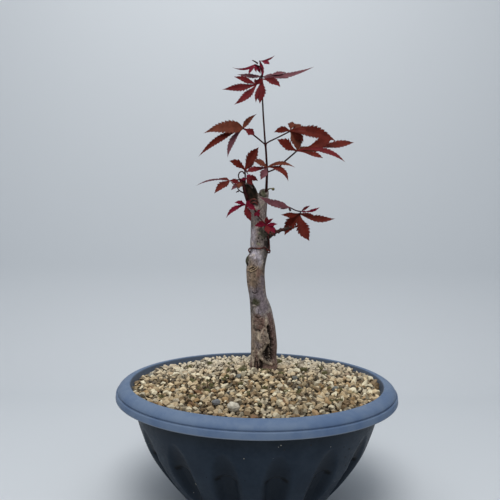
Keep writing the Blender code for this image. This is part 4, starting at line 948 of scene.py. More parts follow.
# A mark follows a line of points, across and up, on the bark that faces front. It is raised
# or, below zero, carved by its push, and tinted at its strength.
# Where a dark mark carves the groove, the hollow beside it, or a crack or pit, its tint is painted shade in
# that recess.
Mark = namedtuple("Mark", "tint half_width push strength line")
MARKS = (
    # The lilac marks are pale lilac grey bark on the trunk's front, painted lighter still as highlights where
    # it catches the light.
    Mark("lilac", 9.0, 0.0, 0.90, ((-4.0, 297.0), (-1.0, 291.0), (-0.5, 285.0))),
    Mark("lilac", 6.5, 0.0, 0.60, ((-7.5, 326.0), (-7.0, 312.0), (-6.0, 306.0))),
    Mark("lilac", 6.0, 0.0, 0.60, ((2.0, 225.0), (3.0, 219.0))),
    Mark("lilac", 4.0, 0.0, 0.50, ((-7.5, 252.0), (-6.5, 240.0))),
    Mark("ochre", 11.0, 0.0, 0.70, ((-6.0, 281.0), (-3.0, 270.0), (-4.0, 258.0))),
    Mark("mauve", 12.0, 0.0, 0.90, ((4.0, 262.0), (2.0, 250.0), (4.0, 236.0), (8.0, 226.0))),
    Mark("wine", 5.5, 0.0, 0.80, ((16.0, 217.0), (20.0, 200.0), (23.0, 180.0), (23.0, 158.0))),
    Mark("brown", 9.0, 0.0, 0.85, ((-4.0, 152.0), (4.0, 151.0), (14.0, 151.0), (22.0, 152.0))),
    Mark("brown", 7.0, 0.0, 0.60, ((-4.0, 210.0), (4.0, 206.0), (9.0, 200.0))),
    Mark("black", 7.0, -1.0, 0.90, ((12.5, 177.0), (12.0, 168.0), (14.0, 160.0))),
    Mark("black", 4.5, 0.0, 0.60, ((10.5, 299.0), (9.5, 285.0), (8.5, 272.0))),
    # Painted shade down the trunk's right edge, under the right bough.
    Mark("black", 4.0, 0.0, 0.85, ((14.0, 318.0), (14.3, 310.0), (13.5, 304.0))),
    Mark("black", 3.5, 0.0, 0.25, ((-9.6, 250.0), (-8.5, 236.0), (-7.0, 222.0))),
    Mark("black", 4.5, 0.0, 0.35, ((-2.0, 201.0), (2.0, 199.5), (7.0, 201.0))),
    # The deep groove up the front and the hollow beside it, carved, with painted shade in them.
    Mark("dark", 3.1, -5.1, 1.00, ((15.1, 202.9), (16.2, 197.3), (18.0, 191.0), (19.5, 184.6),
         (19.7, 176.9), (19.5, 169.3), (20.1, 162.3))),
    Mark("dark", 4.4, -2.9, 1.00, ((15.2, 177.5), (12.4, 169.8), (13.9, 163.5))),
    Mark("pale", 2.9, 0.9, 0.40, ((13.5, 192.8), (15.8, 187.1), (14.9, 182.0), (12.3, 176.9),
         (8.8, 173.2), (4.8, 170.4), (3.0, 167.4))),
    Mark("pale", 2.8, 1.6, 0.52, ((3.0, 167.4), (4.9, 162.7), (9.2, 159.0), (14.8, 156.9), (18.9, 155.0))),
    Mark("pale", 1.7, 0.7, 0.36, ((7.0, 195.3), (7.5, 199.0), (10.0, 200.8), (12.3, 198.6),
         (12.1, 194.7), (10.3, 192.2))),
    Mark("dark", 1.7, -1.0, 0.68, ((9.8, 196.7),)),
    Mark("dark", 1.3, -0.7, 0.61, ((9.7, 191.9), (10.9, 190.1))),
    Mark("dark", 1.7, -1.5, 0.80, ((-1.5, 197.4), (1.3, 198.2), (3.7, 197.3))),
    Mark("pale", 5.2, 0.6, 0.75, ((2.3, 192.6), (3.0, 187.6))),
    Mark("dark", 0.7, -0.6, 0.68, ((0.6, 193.3), (0.9, 190.1))),
    Mark("mauve", 4.1, 0.0, 0.60, ((0.5, 181.8), (4.4, 178.7), (1.8, 176.1))),
    Mark("dark", 1.1, -0.4, 0.94, ((6.3, 176.4),)),
    Mark("dark", 1.0, -0.4, 0.81, ((3.8, 174.7),)),
    Mark("dark", 1.0, -0.4, 0.68, ((-0.2, 174.7),)),
    Mark("dark", 1.0, -0.3, 0.68, ((0.8, 178.6),)),
    Mark("brown", 6.1, 0.0, 0.85, ((-0.5, 215.0), (6.6, 211.3), (7.9, 204.9), (2.8, 201.6))),
    Mark("dark", 1.0, -0.6, 0.61, ((-2.4, 214.6), (2.1, 213.5), (6.5, 215.7))),
    Mark("dark", 0.9, -0.4, 0.47, ((-3.0, 209.2), (2.3, 207.9), (7.1, 209.5))),
    Mark("dark", 1.0, -0.7, 0.54, ((0.9, 205.6), (6.0, 205.9), (10.5, 202.6))),
    Mark("dark", 0.9, -0.4, 0.41, ((2.1, 219.4), (7.2, 217.9))),
    Mark("pale", 2.8, 0.9, 0.49, ((12.4, 213.2), (11.4, 207.5), (12.1, 203.7))),
    Mark("mauve", 3.3, 0.0, 0.60, ((3.3, 225.9), (5.7, 222.1))),
    Mark("dark", 6.4, -1.6, 0.90, ((-4.4, 233.8), (-1.6, 232.2))),
    Mark("moss", 5.8, 0.9, 1.00, ((-3.4, 234.2), (-0.4, 233.0))),
    Mark("pale", 1.4, 1.0, 0.44, ((-4.6, 228.5), (-1.3, 229.2), (1.9, 231.2))),
    Mark("pale", 1.4, 0.2, 0.49, ((-4.7, 212.4), (-4.9, 204.7))),
    Mark("pale", 1.9, 1.5, 0.68, ((-3.7, 169.7), (-4.6, 163.9), (-3.6, 157.5), (-4.0, 152.4))),
    Mark("dark", 1.1, -2.2, 1.00, ((-1.8, 162.7), (-1.9, 156.3), (-2.2, 151.2))),
    Mark("dark", 1.5, -2.2, 1.00, ((0.8, 157.6), (1.4, 148.7))),
    Mark("brown", 2.4, 0.4, 0.85, ((-0.1, 169.1), (0.5, 160.1))),
    Mark("dark", 3.3, -2.1, 1.00, ((5.2, 158.9), (7.2, 154.5), (4.7, 151.2))),
    Mark("pale", 1.8, 0.8, 0.45, ((21.8, 159.1), (23.2, 154.6))),
    Mark("wine", 2.8, 0.0, 0.78, ((22.7, 191.0), (24.3, 179.5), (24.2, 166.8))),
    Mark("dark", 2.8, 0.0, 1.00, ((-13.1, 292.7), (-13.7, 287.6), (-13.0, 281.7))),
    Mark("moss", 1.5, 0.3, 0.78, ((-12.7, 291.4), (-13.2, 285.0))),
    Mark("cream", 1.1, 1.2, 0.72, ((-11.5, 274.3), (-7.9, 272.9), (-3.9, 274.2), (-0.6, 277.0),
         (0.7, 279.8))),
    Mark("cream", 0.8, 1.0, 0.61, ((-10.8, 276.7), (-7.7, 279.0), (-4.4, 279.5))),
    Mark("cream", 0.8, 0.9, 0.66, ((-9.2, 275.0), (-5.2, 276.2), (-2.6, 278.3))),
    Mark("dark", 0.7, -1.0, 0.72, ((-10.3, 275.4), (-7.0, 277.6), (-3.3, 279.0))),
    Mark("dark", 0.7, -0.9, 0.63, ((-7.4, 274.1), (-3.4, 275.7), (-1.1, 278.8))),
    Mark("dark", 0.9, -0.6, 0.49, ((-5.7, 280.9), (-2.7, 280.6))),
    Mark("brown", 4.1, 0.0, 0.78, ((-1.2, 275.6), (3.3, 273.1), (0.8, 268.6))),
    Mark("dark", 1.3, -0.7, 0.88, ((-3.8, 266.0),)),
    Mark("dark", 1.7, -1.1, 0.94, ((-12.6, 259.0),)),
    Mark("dark", 0.9, -0.8, 0.81, ((-6.3, 246.1), (-3.4, 244.3), (-0.2, 246.4))),
    Mark("dark", 1.0, -0.3, 0.54, ((1.5, 242.8),)),
    Mark("pale", 1.7, 0.4, 0.52, ((7.8, 284.6),)),
    Mark("pale", 1.1, 0.3, 0.45, ((9.5, 291.7),)),
    Mark("pale", 3.3, 0.0, 0.45, ((-5.5, 293.7),)),
    Mark("mauve", 3.3, 0.0, 0.55, ((-0.7, 289.0), (-1.3, 283.9))),
    Mark("moss_pale", 2.0, 0.3, 0.70, ((-0.3, 308.7), (2.4, 307.7))),
    Mark("dark", 1.3, -0.7, 0.94, ((-0.1, 311.6),)),
    Mark("pale", 2.9, 0.0, 0.45, ((-6.9, 308.7),)),
    Mark("dark", 3.2, 0.0, 0.81, ((9.9, 311.5), (10.6, 307.0))),
    Mark("wine", 2.3, 0.0, 0.91, ((8.7, 304.4),)),
    Mark("moss", 6.4, 1.1, 0.45, ((4.0, 327.4), (6.6, 318.5))),
    Mark("dark", 1.6, -1.0, 1.00, ((1.0, 315.6),)),
    Mark("dark", 1.7, -1.0, 1.00, ((5.8, 313.6),)),
    Mark("moss_pale", 2.2, 0.0, 0.50, ((1.5, 322.7),)),
    Mark("ochre", 1.3, 0.0, 0.70, ((-0.0, 317.6),)),
    Mark("dark", 2.1, -0.7, 1.00, ((9.1, 323.6),)),
    Mark("moss_pale", 2.3, 0.0, 0.50, ((5.6, 358.8),)),
    Mark("moss_pale", 1.4, 0.0, 0.40, ((4.8, 363.1),)),
    Mark("pale", 1.7, 0.2, 0.65, ((-3.2, 355.1),)),
    Mark("moss", 5.5, 0.0, 1.00, ((7.2, 376.1), (7.3, 373.3))),
    Mark("dark", 1.3, -0.6, 0.94, ((1.6, 375.2), (2.7, 371.6), (6.5, 369.5), (11.1, 370.4))),
    Mark("brown", 6.0, 0.0, 1.00, ((15.5, 319.5), (24.0, 324.4), (36.0, 328.5), (49.5, 331.2))),
    Mark("dark", 6.0, 0.0, 0.66, ((15.5, 319.5), (24.0, 324.4), (36.0, 328.5), (49.5, 331.2))),
    # Painted shade on the underside of the right bough, where it leaves the trunk.
    Mark("dark", 2.6, 0.0, 0.80, ((14.0, 316.5), (19.0, 319.6), (24.0, 323.0))),
    Mark("black", 4.2, 0.0, 0.75, ((2.6, 326.0), (5.4, 321.0), (8.5, 318.0))),
    Mark("black", 3.6, 0.0, 0.85, ((9.5, 331.0), (11.0, 325.0), (12.5, 320.0))),
    Mark("black", 9.0, 0.0, 0.75, ((-5.8, 370.5), (-9.6, 378.0), (-12.8, 386.0))),
    Mark("black", 4.0, 0.0, 0.80, ((-9.5, 364.0), (-5.0, 361.0), (-1.5, 360.0))),
    Mark("pale", 1.5, 0.5, 1.00, ((-16.6, 386.6), (-13.4, 386.4), (-10.4, 384.2), (-8.0, 380.8))),
    Mark("dark", 2.1, -1.8, 1.00, ((-13.5, 384.7),)),
    Mark("dark", 0.7, -0.4, 0.81, ((0.1, 349.0), (2.9, 346.0), (5.1, 342.3))),
)


def curved(points, steps):
    """Points along a smooth curve through the given ones, evenly spaced in number."""
    rows = [(index, *point) for index, point in enumerate(points)]
    return [Vector(smooth_value(rows, k / steps)) for k in range((len(points) - 1) * steps + 1)]


def shaped(stations, steps):
    """Smooth middle points and radii along a limb."""
    rows = [(index, *point, radius) for index, (point, radius) in enumerate(stations)]
    values = [smooth_value(rows, k / steps) for k in range((len(stations) - 1) * steps + 1)]
    return [Vector(value[:3]) for value in values], [value[3] for value in values]


def add_skin(shell, rings):
    """Add a closed skin over rings of equal count to a bmesh."""
    rows = [[shell.verts.new(Vector(point) * MM) for point in ring] for ring in rings]
    count = len(rows[0])
    for lower, upper in zip(rows, rows[1:]):
        for k in range(count):
            shell.faces.new((lower[k], lower[(k + 1) % count], upper[(k + 1) % count], upper[k]))
    shell.faces.new(list(reversed(rows[0])))
    shell.faces.new(rows[-1])


def add_tube(shell, path, radii, sides):
    """Add a closed tube along a path to a bmesh, its radius given at each point."""
    rings = []
    side = (path[1] - path[0]).orthogonal()
    for index, (point, radius) in enumerate(zip(path, radii)):
        run = (path[min(index + 1, len(path) - 1)] - path[max(index - 1, 0)]).normalized()
        side = (side - run * side.dot(run)).normalized()
        other = run.cross(side)
        turns = [math.tau * k / sides for k in range(sides)]
        rings.append([point + (side * math.cos(turn) + other * math.sin(turn)) * radius for turn in turns])
    add_skin(shell, rings)


def turn_between(first, second):
    """Smallest turn between two bearings, in degrees."""
    return abs((first - second + 180.0) % 360.0 - 180.0)


def trunk_reach(height, bearing):
    """How far the bark lies from the trunk's middle, with its swellings."""
    reach = smooth_value(TRUNK_STATIONS, height)[2] / 2.0
    for swelling in SWELLINGS:
        rise = 1.0 - ((height - swelling.height) / swelling.reach) ** 2
        turn = 1.0 - (turn_between(bearing, swelling.bearing) / swelling.sweep) ** 2
        if rise > 0.0 and turn > 0.0:
            reach += swelling.rise * rise * turn
    return reach


def trunk_point(height, bearing, extra):
    """A point that lies so far outside the bark."""
    middle_x, middle_y, _ = smooth_value(TRUNK_STATIONS, height)
    reach = trunk_reach(height, bearing) + extra
    turn = math.radians(bearing)
    return Vector((middle_x + reach * math.cos(turn), middle_y + reach * math.sin(turn), height))


def line_distance(place, line):
    """How far a point lies from a line of points in the front view."""
    nearest = math.hypot(place[0] - line[0][0], place[1] - line[0][1])
    for low, high in zip(line, line[1:]):
        run = (high[0] - low[0], high[1] - low[1])
        off = (place[0] - low[0], place[1] - low[1])
        share = (off[0] * run[0] + off[1] * run[1]) / (run[0] ** 2 + run[1] ** 2)
        share = min(max(share, 0.0), 1.0)
        nearest = min(nearest, math.hypot(off[0] - run[0] * share, off[1] - run[1] * share))
    return nearest


def soft_step(value, low, high):
    """Rise smoothly from 0 to 1 between two limits."""
    share = min(max((value - low) / (high - low), 0.0), 1.0)
    return share * share * (3.0 - 2.0 * share)


def press_marks(mesh):
    """Carve or raise each mark into the bark that faces front, and note its tint."""
    masks = {name: [0.0] * len(mesh.vertices) for name in BARK_TINTS}
    boxes = []
    for mark in MARKS:
        across, up = zip(*mark.line)
        boxes.append((min(across) - mark.half_width, max(across) + mark.half_width,
                      min(up) - mark.half_width, max(up) + mark.half_width))
    normals = [vertex.normal.copy() for vertex in mesh.vertices]
    for index, vertex in enumerate(mesh.vertices):
        place = (vertex.co.x / MM, vertex.co.z / MM)
        front = soft_step(-normals[index].y, *FRONT_TURN)
        if front == 0.0:
            continue
        push = 0.0
        for mark, (left, right, low, high) in zip(MARKS, boxes):
            if not (left < place[0] < right and low < place[1] < high):
                continue
            spot = Vector((*place, 7.0)) * MARK_WANDER_RATE
            ragged = 1.0 + MARK_WANDER * noise.fractal(spot, 1.0, 2.0, 3)
            share = 1.0 - line_distance(place, mark.line) / (mark.half_width * ragged)
            if share > 0.0:
                cover = soft_step(share, 0.0, MARK_EDGE) * front
                push += mark.push * cover
                mask = masks[mark.tint]
                mask[index] = max(mask[index], mark.strength * cover)
        vertex.co += normals[index] * push * MM
    for name, mask in masks.items():
        mesh.attributes.new(name, "FLOAT", "POINT").data.foreach_set("value", mask)


def bark_tree():
    """Raises long fibres, cross wrinkles and a fine grain along the bark's normals."""
    labels = [(label, "NodeSocketFloat") for label in BARK_RELIEF] + [("Material", "NodeSocketMaterial")]
    tree, given, result = geometry_tree("bark_relief", labels)
    position = put_node(tree, "GeometryNodeInputPosition").outputs[0]
    normal = put_node(tree, "GeometryNodeInputNormal").outputs[0]
    axes = split(tree, position)
    total = None
    for label, detail in (("Fibre", 3.0), ("Wrinkle", 3.0), ("Grain", 2.0)):
        place = position
        if label != "Grain":
            tall = times(tree, axes["Z"], given[label + " Stretch"])
            place = put_node(tree, "ShaderNodeCombineXYZ", {
                "X": axes["X"], "Y": axes["Y"], "Z": tall}).outputs[0]
        rough = put_node(tree, "ShaderNodeTexNoise", {
            "Vector": place, "Scale": given[label + " Scale"], "Detail": detail, "Roughness": 0.6}).outputs[0]
        level = times(tree, maths(tree, "SUBTRACT", rough, 0.5), given[label + " Depth"])
        total = level if total is None else maths(tree, "ADD", total, level)
    shift = put_node(tree, "ShaderNodeVectorMath", {0: normal, "Scale": total}, operation="SCALE")
    moved = put_node(tree, "GeometryNodeSetPosition", {"Geometry": given["Geometry"],
                                                       "Offset": shift.outputs[0]}).outputs[0]
    noted = note_value(tree, moved, "relief", maths(tree, "DIVIDE", total, MM))
    return end_tree(tree, noted, given["Material"], result)


def bark_material():
    """Grey brown bark with streaks and lichen, with painted shade in its hollows, under the noted tints."""
    material, tree, shader = new_material("maple_bark")
    place = object_place(tree)
    axes = split(tree, place)
    height = axes["Z"]
    cloud = mottling(tree, place, 75.0, 0.6)
    streak = mottling(tree, place, 420.0, 0.12)
    fleck = mottling(tree, place, 560.0, 1.5)
    patch = mottling(tree, place, 170.0, 0.7)
    stain = mottling(tree, place, 230.0, 0.45)
    colour = mix_colour(tree, cloud, (0.138, 0.114, 0.110), (0.375, 0.325, 0.312))
    colour = tint(tree, colour, patch, 0.40, (0.215, 0.200, 0.165))
    colour = tint(tree, colour, stain, 0.38, (0.070, 0.050, 0.045))
    brown_zone = times(tree, ramp(tree, height, *BROWN_HEAD), ramp(tree, height, *BROWN_FOOT))
    low_zone = times(tree, ramp(tree, height, *LOW_BARK), 0.8)
    zone = maths(tree, "MAXIMUM", brown_zone, low_zone)
    colour = tint(tree, colour, zone, 0.75, (0.318, 0.206, 0.132))
    colour = tint(tree, colour, ramp(tree, height, *HIGH_BARK), 0.42, (0.125, 0.060, 0.055))
    colour = tint(tree, colour, streak, 0.5, (0.070, 0.050, 0.042))
    colour = tint(tree, colour, fleck, 0.42, (0.42, 0.37, 0.32))
    colour = tint(tree, colour, specks(tree, place, 300.0, 0.34, 0.10), 0.4, (0.30, 0.29, 0.25))
    uneven = maths(tree, "ADD", 0.82, times(tree, fleck, 0.36))
    for name, shade in BARK_TINTS.items():
        share = maths(tree, "MINIMUM", times(tree, noted_mask(tree, name), uneven), 1.0)
        colour = mix_colour(tree, share, colour, shade)
    dead = times(tree, ramp(tree, height, *DEAD_FOOT), ramp(tree, axes["X"], *DEAD_SIDE))
    rotten = mix_colour(tree, times(tree, patch, 0.7), (0.002, 0.0015, 0.001), (0.040, 0.020, 0.011))
    rotten = tint(tree, rotten, stain, 0.6, (0.003, 0.002, 0.0015))
    colour = mix_colour(tree, dead, colour, rotten)
    colour = tint(tree, colour, times(tree, noted_mask(tree, "pale"), dead), 0.85, (0.17, 0.14, 0.125))
    low = ramp(tree, height, *DOTTED_BARK)
    for scale, strength, shade in ((520.0, 0.55, (0.42, 0.35, 0.29)), (640.0, 0.65, (0.025, 0.016, 0.013))):
        dots = times(tree, specks(tree, place, scale, 0.36, 0.22), low)
        colour = tint(tree, colour, dots, strength, shade)
    for scale, stretch, dim, bright in ((330.0, 0.55, 0.62, 1.42), (900.0, 0.4, 0.72, 1.30)):
        shade = mix_colour(tree, mottling(tree, place, scale, stretch), (dim,) * 3, (bright,) * 3)
        colour = mix_colour(tree, 1.0, colour, shade, "MULTIPLY")
    # Painted shade in the hollows of the bark's relief.
    hollow = ramp(tree, noted_mask(tree, "relief"), *RELIEF_SHADE_DEPTHS)
    colour = tint(tree, colour, hollow, 0.5, (0.03, 0.02, 0.015))
    tree.links.new(colour, shader.inputs["Base Color"])
    shader.inputs["Roughness"].default_value = 0.82
    shader.inputs["Specular IOR Level"].default_value = 0.12
    relief = maths(tree, "ADD", roughening(tree, place, 2600.0, 3.0), times(tree, fleck, 0.7))
    add_bump(tree, shader, relief, 0.5, 0.0004)
    return material


bark_shell = bmesh.new()
trunk_rings = []
for row in range(TRUNK_ROWS + 1):
    height = TRUNK_STATIONS[0][0] + (TRUNK_STATIONS[-1][0] - TRUNK_STATIONS[0][0]) * row / TRUNK_ROWS
    ring = [trunk_point(height, 360.0 * k / TRUNK_SIDES, 0.0) for k in range(TRUNK_SIDES)]
    for point in ring:
        point.z = min(point.z, CUT_HEIGHT + (point.y - CUT_FRONT) * CUT_SLOPE)
    trunk_rings.append(ring)
add_skin(bark_shell, trunk_rings)
add_tube(bark_shell, *shaped(LEFT_BOUGH, BOUGH_STEPS), LEFT_BOUGH_SIDES)
add_tube(bark_shell, *shaped(RIGHT_BOUGH, BOUGH_STEPS), RIGHT_BOUGH_SIDES)
trunk = link_object("trunk_bark", finish_shell("trunk_bark", bark_shell))
grid = trunk.modifiers.new("Even grid", "REMESH")
grid.mode = "VOXEL"
grid.voxel_size = BARK_GRID * MM
ease = trunk.modifiers.new("Eased joins", "SMOOTH")
ease.factor = BARK_EASE
ease.iterations = BARK_SMOOTHING
depsgraph = bpy.context.evaluated_depsgraph_get()
depsgraph.update()
trunk.data = bpy.data.meshes.new_from_object(trunk.evaluated_get(depsgraph))
trunk.modifiers.clear()
press_marks(trunk.data)
run_tree(trunk, bark_tree(), {**BARK_RELIEF, "Material": bark_material()})
trunk.data.shade_smooth()
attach(trunk, "root")
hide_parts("trunk")
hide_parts("left_bough")
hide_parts("low_right_bough")

# The training wires: thin dark copper coloured wire, one ring round the trunk with a hook
# at each end, a strand up to the bough, loose turns on it, and two on the stub.
WIRE_RADIUS = 1.0
WIRE_LIFT = 0.6
WIRE_SIDES = 10
RING_HEIGHTS = ((200.0, 302.4), (235.0, 302.9), (270.0, 302.4), (300.0, 303.6), (322.0, 301.6),
                (350.0, 301.4), (450.0, 302.4), (560.0, 302.4))
RING_STEP = 6.0
LOOSE_WIRES = (
    ((-6.5, 32.5, 302.8), (-9.0, 36.0, 302.8), (-11.0, 39.0, 301.6), (-11.3, 39.5, 299.4),
     (-9.6, 37.0, 297.2)),
    ((11.2, 35.5, 301.6), (13.4, 37.5, 299.9), (15.6, 39.0, 300.6), (16.0, 39.5, 298.8),
     (14.8, 38.5, 297.0), (13.0, 37.5, 297.8)),
    ((12.7, 36.0, 319.0), (14.6, 39.0, 313.6), (15.0, 40.0, 308.5), (15.4, 40.0, 303.8),
     (14.9, 40.0, 300.9)),
    ((-12.0, 41.0, 361.4), (-10.2, 36.6, 364.0), (-7.0, 34.9, 365.6), (-3.2, 34.6, 365.2),
     (-0.4, 35.4, 362.2), (0.6, 37.5, 359.8)),
    ((-11.4, 41.0, 357.4), (-9.6, 36.8, 360.0), (-6.4, 35.0, 361.6), (-3.0, 34.8, 361.2),
     (-0.6, 35.4, 358.6), (0.4, 37.5, 356.4)),
)
WIRE_STEPS = 8
COIL_TURNS = 3.4
COIL_START = 0.30
COIL_END = 0.93
COIL_POINTS = 90
COIL_LIFT = 0.35
COIL_LOOSENESS = 0.8
COIL_LOOSENESS_RATE = 0.37
COIL_LOOK_AHEAD = 0.05


def even_tube(shell, points, steps, radius, sides):
    """Add a tube of one radius along a smooth curve through a few points."""
    path = curved(points, steps)
    add_tube(shell, path, [radius] * len(path), sides)


wire_shell = bmesh.new()
ring_path = []
bearing = RING_HEIGHTS[0][0]
while bearing <= RING_HEIGHTS[-1][0]:
    ring_path.append(trunk_point(smooth_value(RING_HEIGHTS, bearing)[0], bearing % 360.0, WIRE_LIFT))
    bearing += RING_STEP
add_tube(wire_shell, ring_path, [WIRE_RADIUS] * len(ring_path), WIRE_SIDES)
for points in LOOSE_WIRES:
    even_tube(wire_shell, points, WIRE_STEPS, WIRE_RADIUS, WIRE_SIDES)
bough_rows = [(index, *point, radius) for index, (point, radius) in enumerate(RIGHT_BOUGH)]
coil_path = []
for k in range(COIL_POINTS + 1):
    share = COIL_START + (COIL_END - COIL_START) * k / COIL_POINTS
    at = share * (len(RIGHT_BOUGH) - 1)
    value = smooth_value(bough_rows, at)
    ahead = smooth_value(bough_rows, at + COIL_LOOK_AHEAD)
    run = (Vector(ahead[:3]) - Vector(value[:3])).normalized()
    side = run.cross(Vector((0.0, 1.0, 0.0))).normalized()
    other = run.cross(side)
    turn = math.tau * COIL_TURNS * k / COIL_POINTS
    lift = value[3] + COIL_LIFT * (1.0 + COIL_LOOSENESS * math.sin(turn * COIL_LOOSENESS_RATE))
    coil_path.append(Vector(value[:3]) + (side * math.cos(turn) + other * math.sin(turn)) * lift)
add_tube(wire_shell, coil_path, [WIRE_RADIUS] * len(coil_path), WIRE_SIDES)
wire_paint, wire_nodes, wire_shader, wire_cloud = mottled_material(
    "copper_wire", 320.0, (0.024, 0.006, 0.005), (0.150, 0.024, 0.014), 0.45)
wire_shader.inputs["Metallic"].default_value = 0.35
add_bump(wire_nodes, wire_shader, wire_cloud, 0.2, 0.0001)
wires = link_object("training_wires", finish_shell("training_wires", wire_shell), wire_paint)
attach(wires, "root")
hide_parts("trunk_wire")

# The young shoots: the dark leader that grows from the cut top, a round bud on its twig
# beside it, and the thin stalks that carry the leaves.
LEADER = (((10.8, 46.0, 374.0), 2.0), ((10.8, 46.0, 381.8), 1.8), ((11.2, 46.0, 396.0), 1.65),
          ((11.2, 46.0, 402.0), 1.7), ((11.2, 46.0, 404.0), 2.1), ((11.1, 46.0, 406.5), 1.65),
          ((10.9, 46.0, 412.0), 1.45), ((9.8, 45.5, 428.0), 1.35), ((9.1, 45.1, 435.5), 1.4),
          ((8.9, 45.0, 437.5), 1.7), ((8.7, 45.0, 440.0), 1.3), ((8.0, 45.0, 446.0), 1.2),
          ((5.1, 44.0, 483.0), 1.05), ((3.6, 44.0, 515.0), 0.95), ((3.3, 44.0, 523.0), 1.0))
BUD_TWIG = (((12.6, 45.4, 379.4), 1.1), ((14.6, 45.0, 380.6), 0.9), ((17.0, 44.6, 380.9), 0.75),
            ((18.0, 44.5, 380.6), 1.2), ((19.2, 44.4, 380.2), 2.05), ((20.6, 44.3, 379.8), 1.7),
            ((21.4, 44.2, 379.5), 0.4))
LEADER_STEPS = 5
BUD_STEPS = 4
SHOOT_SIDES = 14
STEM_RADIUS = 1.0
STEM_STEPS = 5
STALK_RADIUS = 0.8
STALK_STEPS = 6
STALK_SIDES = 8
LOOSE_STALK_STEPS = 8
LOOSE_STALKS = (
    (((-12.5, 41.5, 362.0), (-15.5, 39.5, 370.4), (-17.2, 39.0, 374.8), (-18.5, 39.5, 380.6),
      (-19.0, 41.0, 386.5), (-18.2, 43.0, 392.0)), 2.6, 1.5),
    (((-15.5, 40.5, 371.5), (-17.6, 41.0, 373.8), (-21.5, 41.0, 375.6), (-24.9, 41.0, 378.0),
      (-27.3, 42.0, 381.0), (-29.5, 43.0, 384.5)), 1.0, 0.5),
    (((-19.1, 41.5, 390.5), (-23.8, 41.0, 391.6), (-25.9, 41.0, 396.0), (-24.4, 41.0, 400.7),
      (-20.8, 42.0, 402.2), (-18.3, 44.0, 399.4)), 0.8, 0.8),
    (((-2.3, 45.0, 543.8), (-6.0, 44.0, 546.0), (-9.6, 44.0, 547.7)), 1.2, 0.6),
    (((-4.7, 35.0, 352.6), (-2.4, 33.6, 347.4), (0.5, 31.6, 343.0), (4.8, 28.0, 338.4),
      (10.4, 25.0, 332.3)), 0.7, 0.7),
    (((-28.9, 44.0, 375.1), (-27.2, 44.0, 376.3), (-25.2, 43.5, 376.9)), 0.4, 1.1),
)
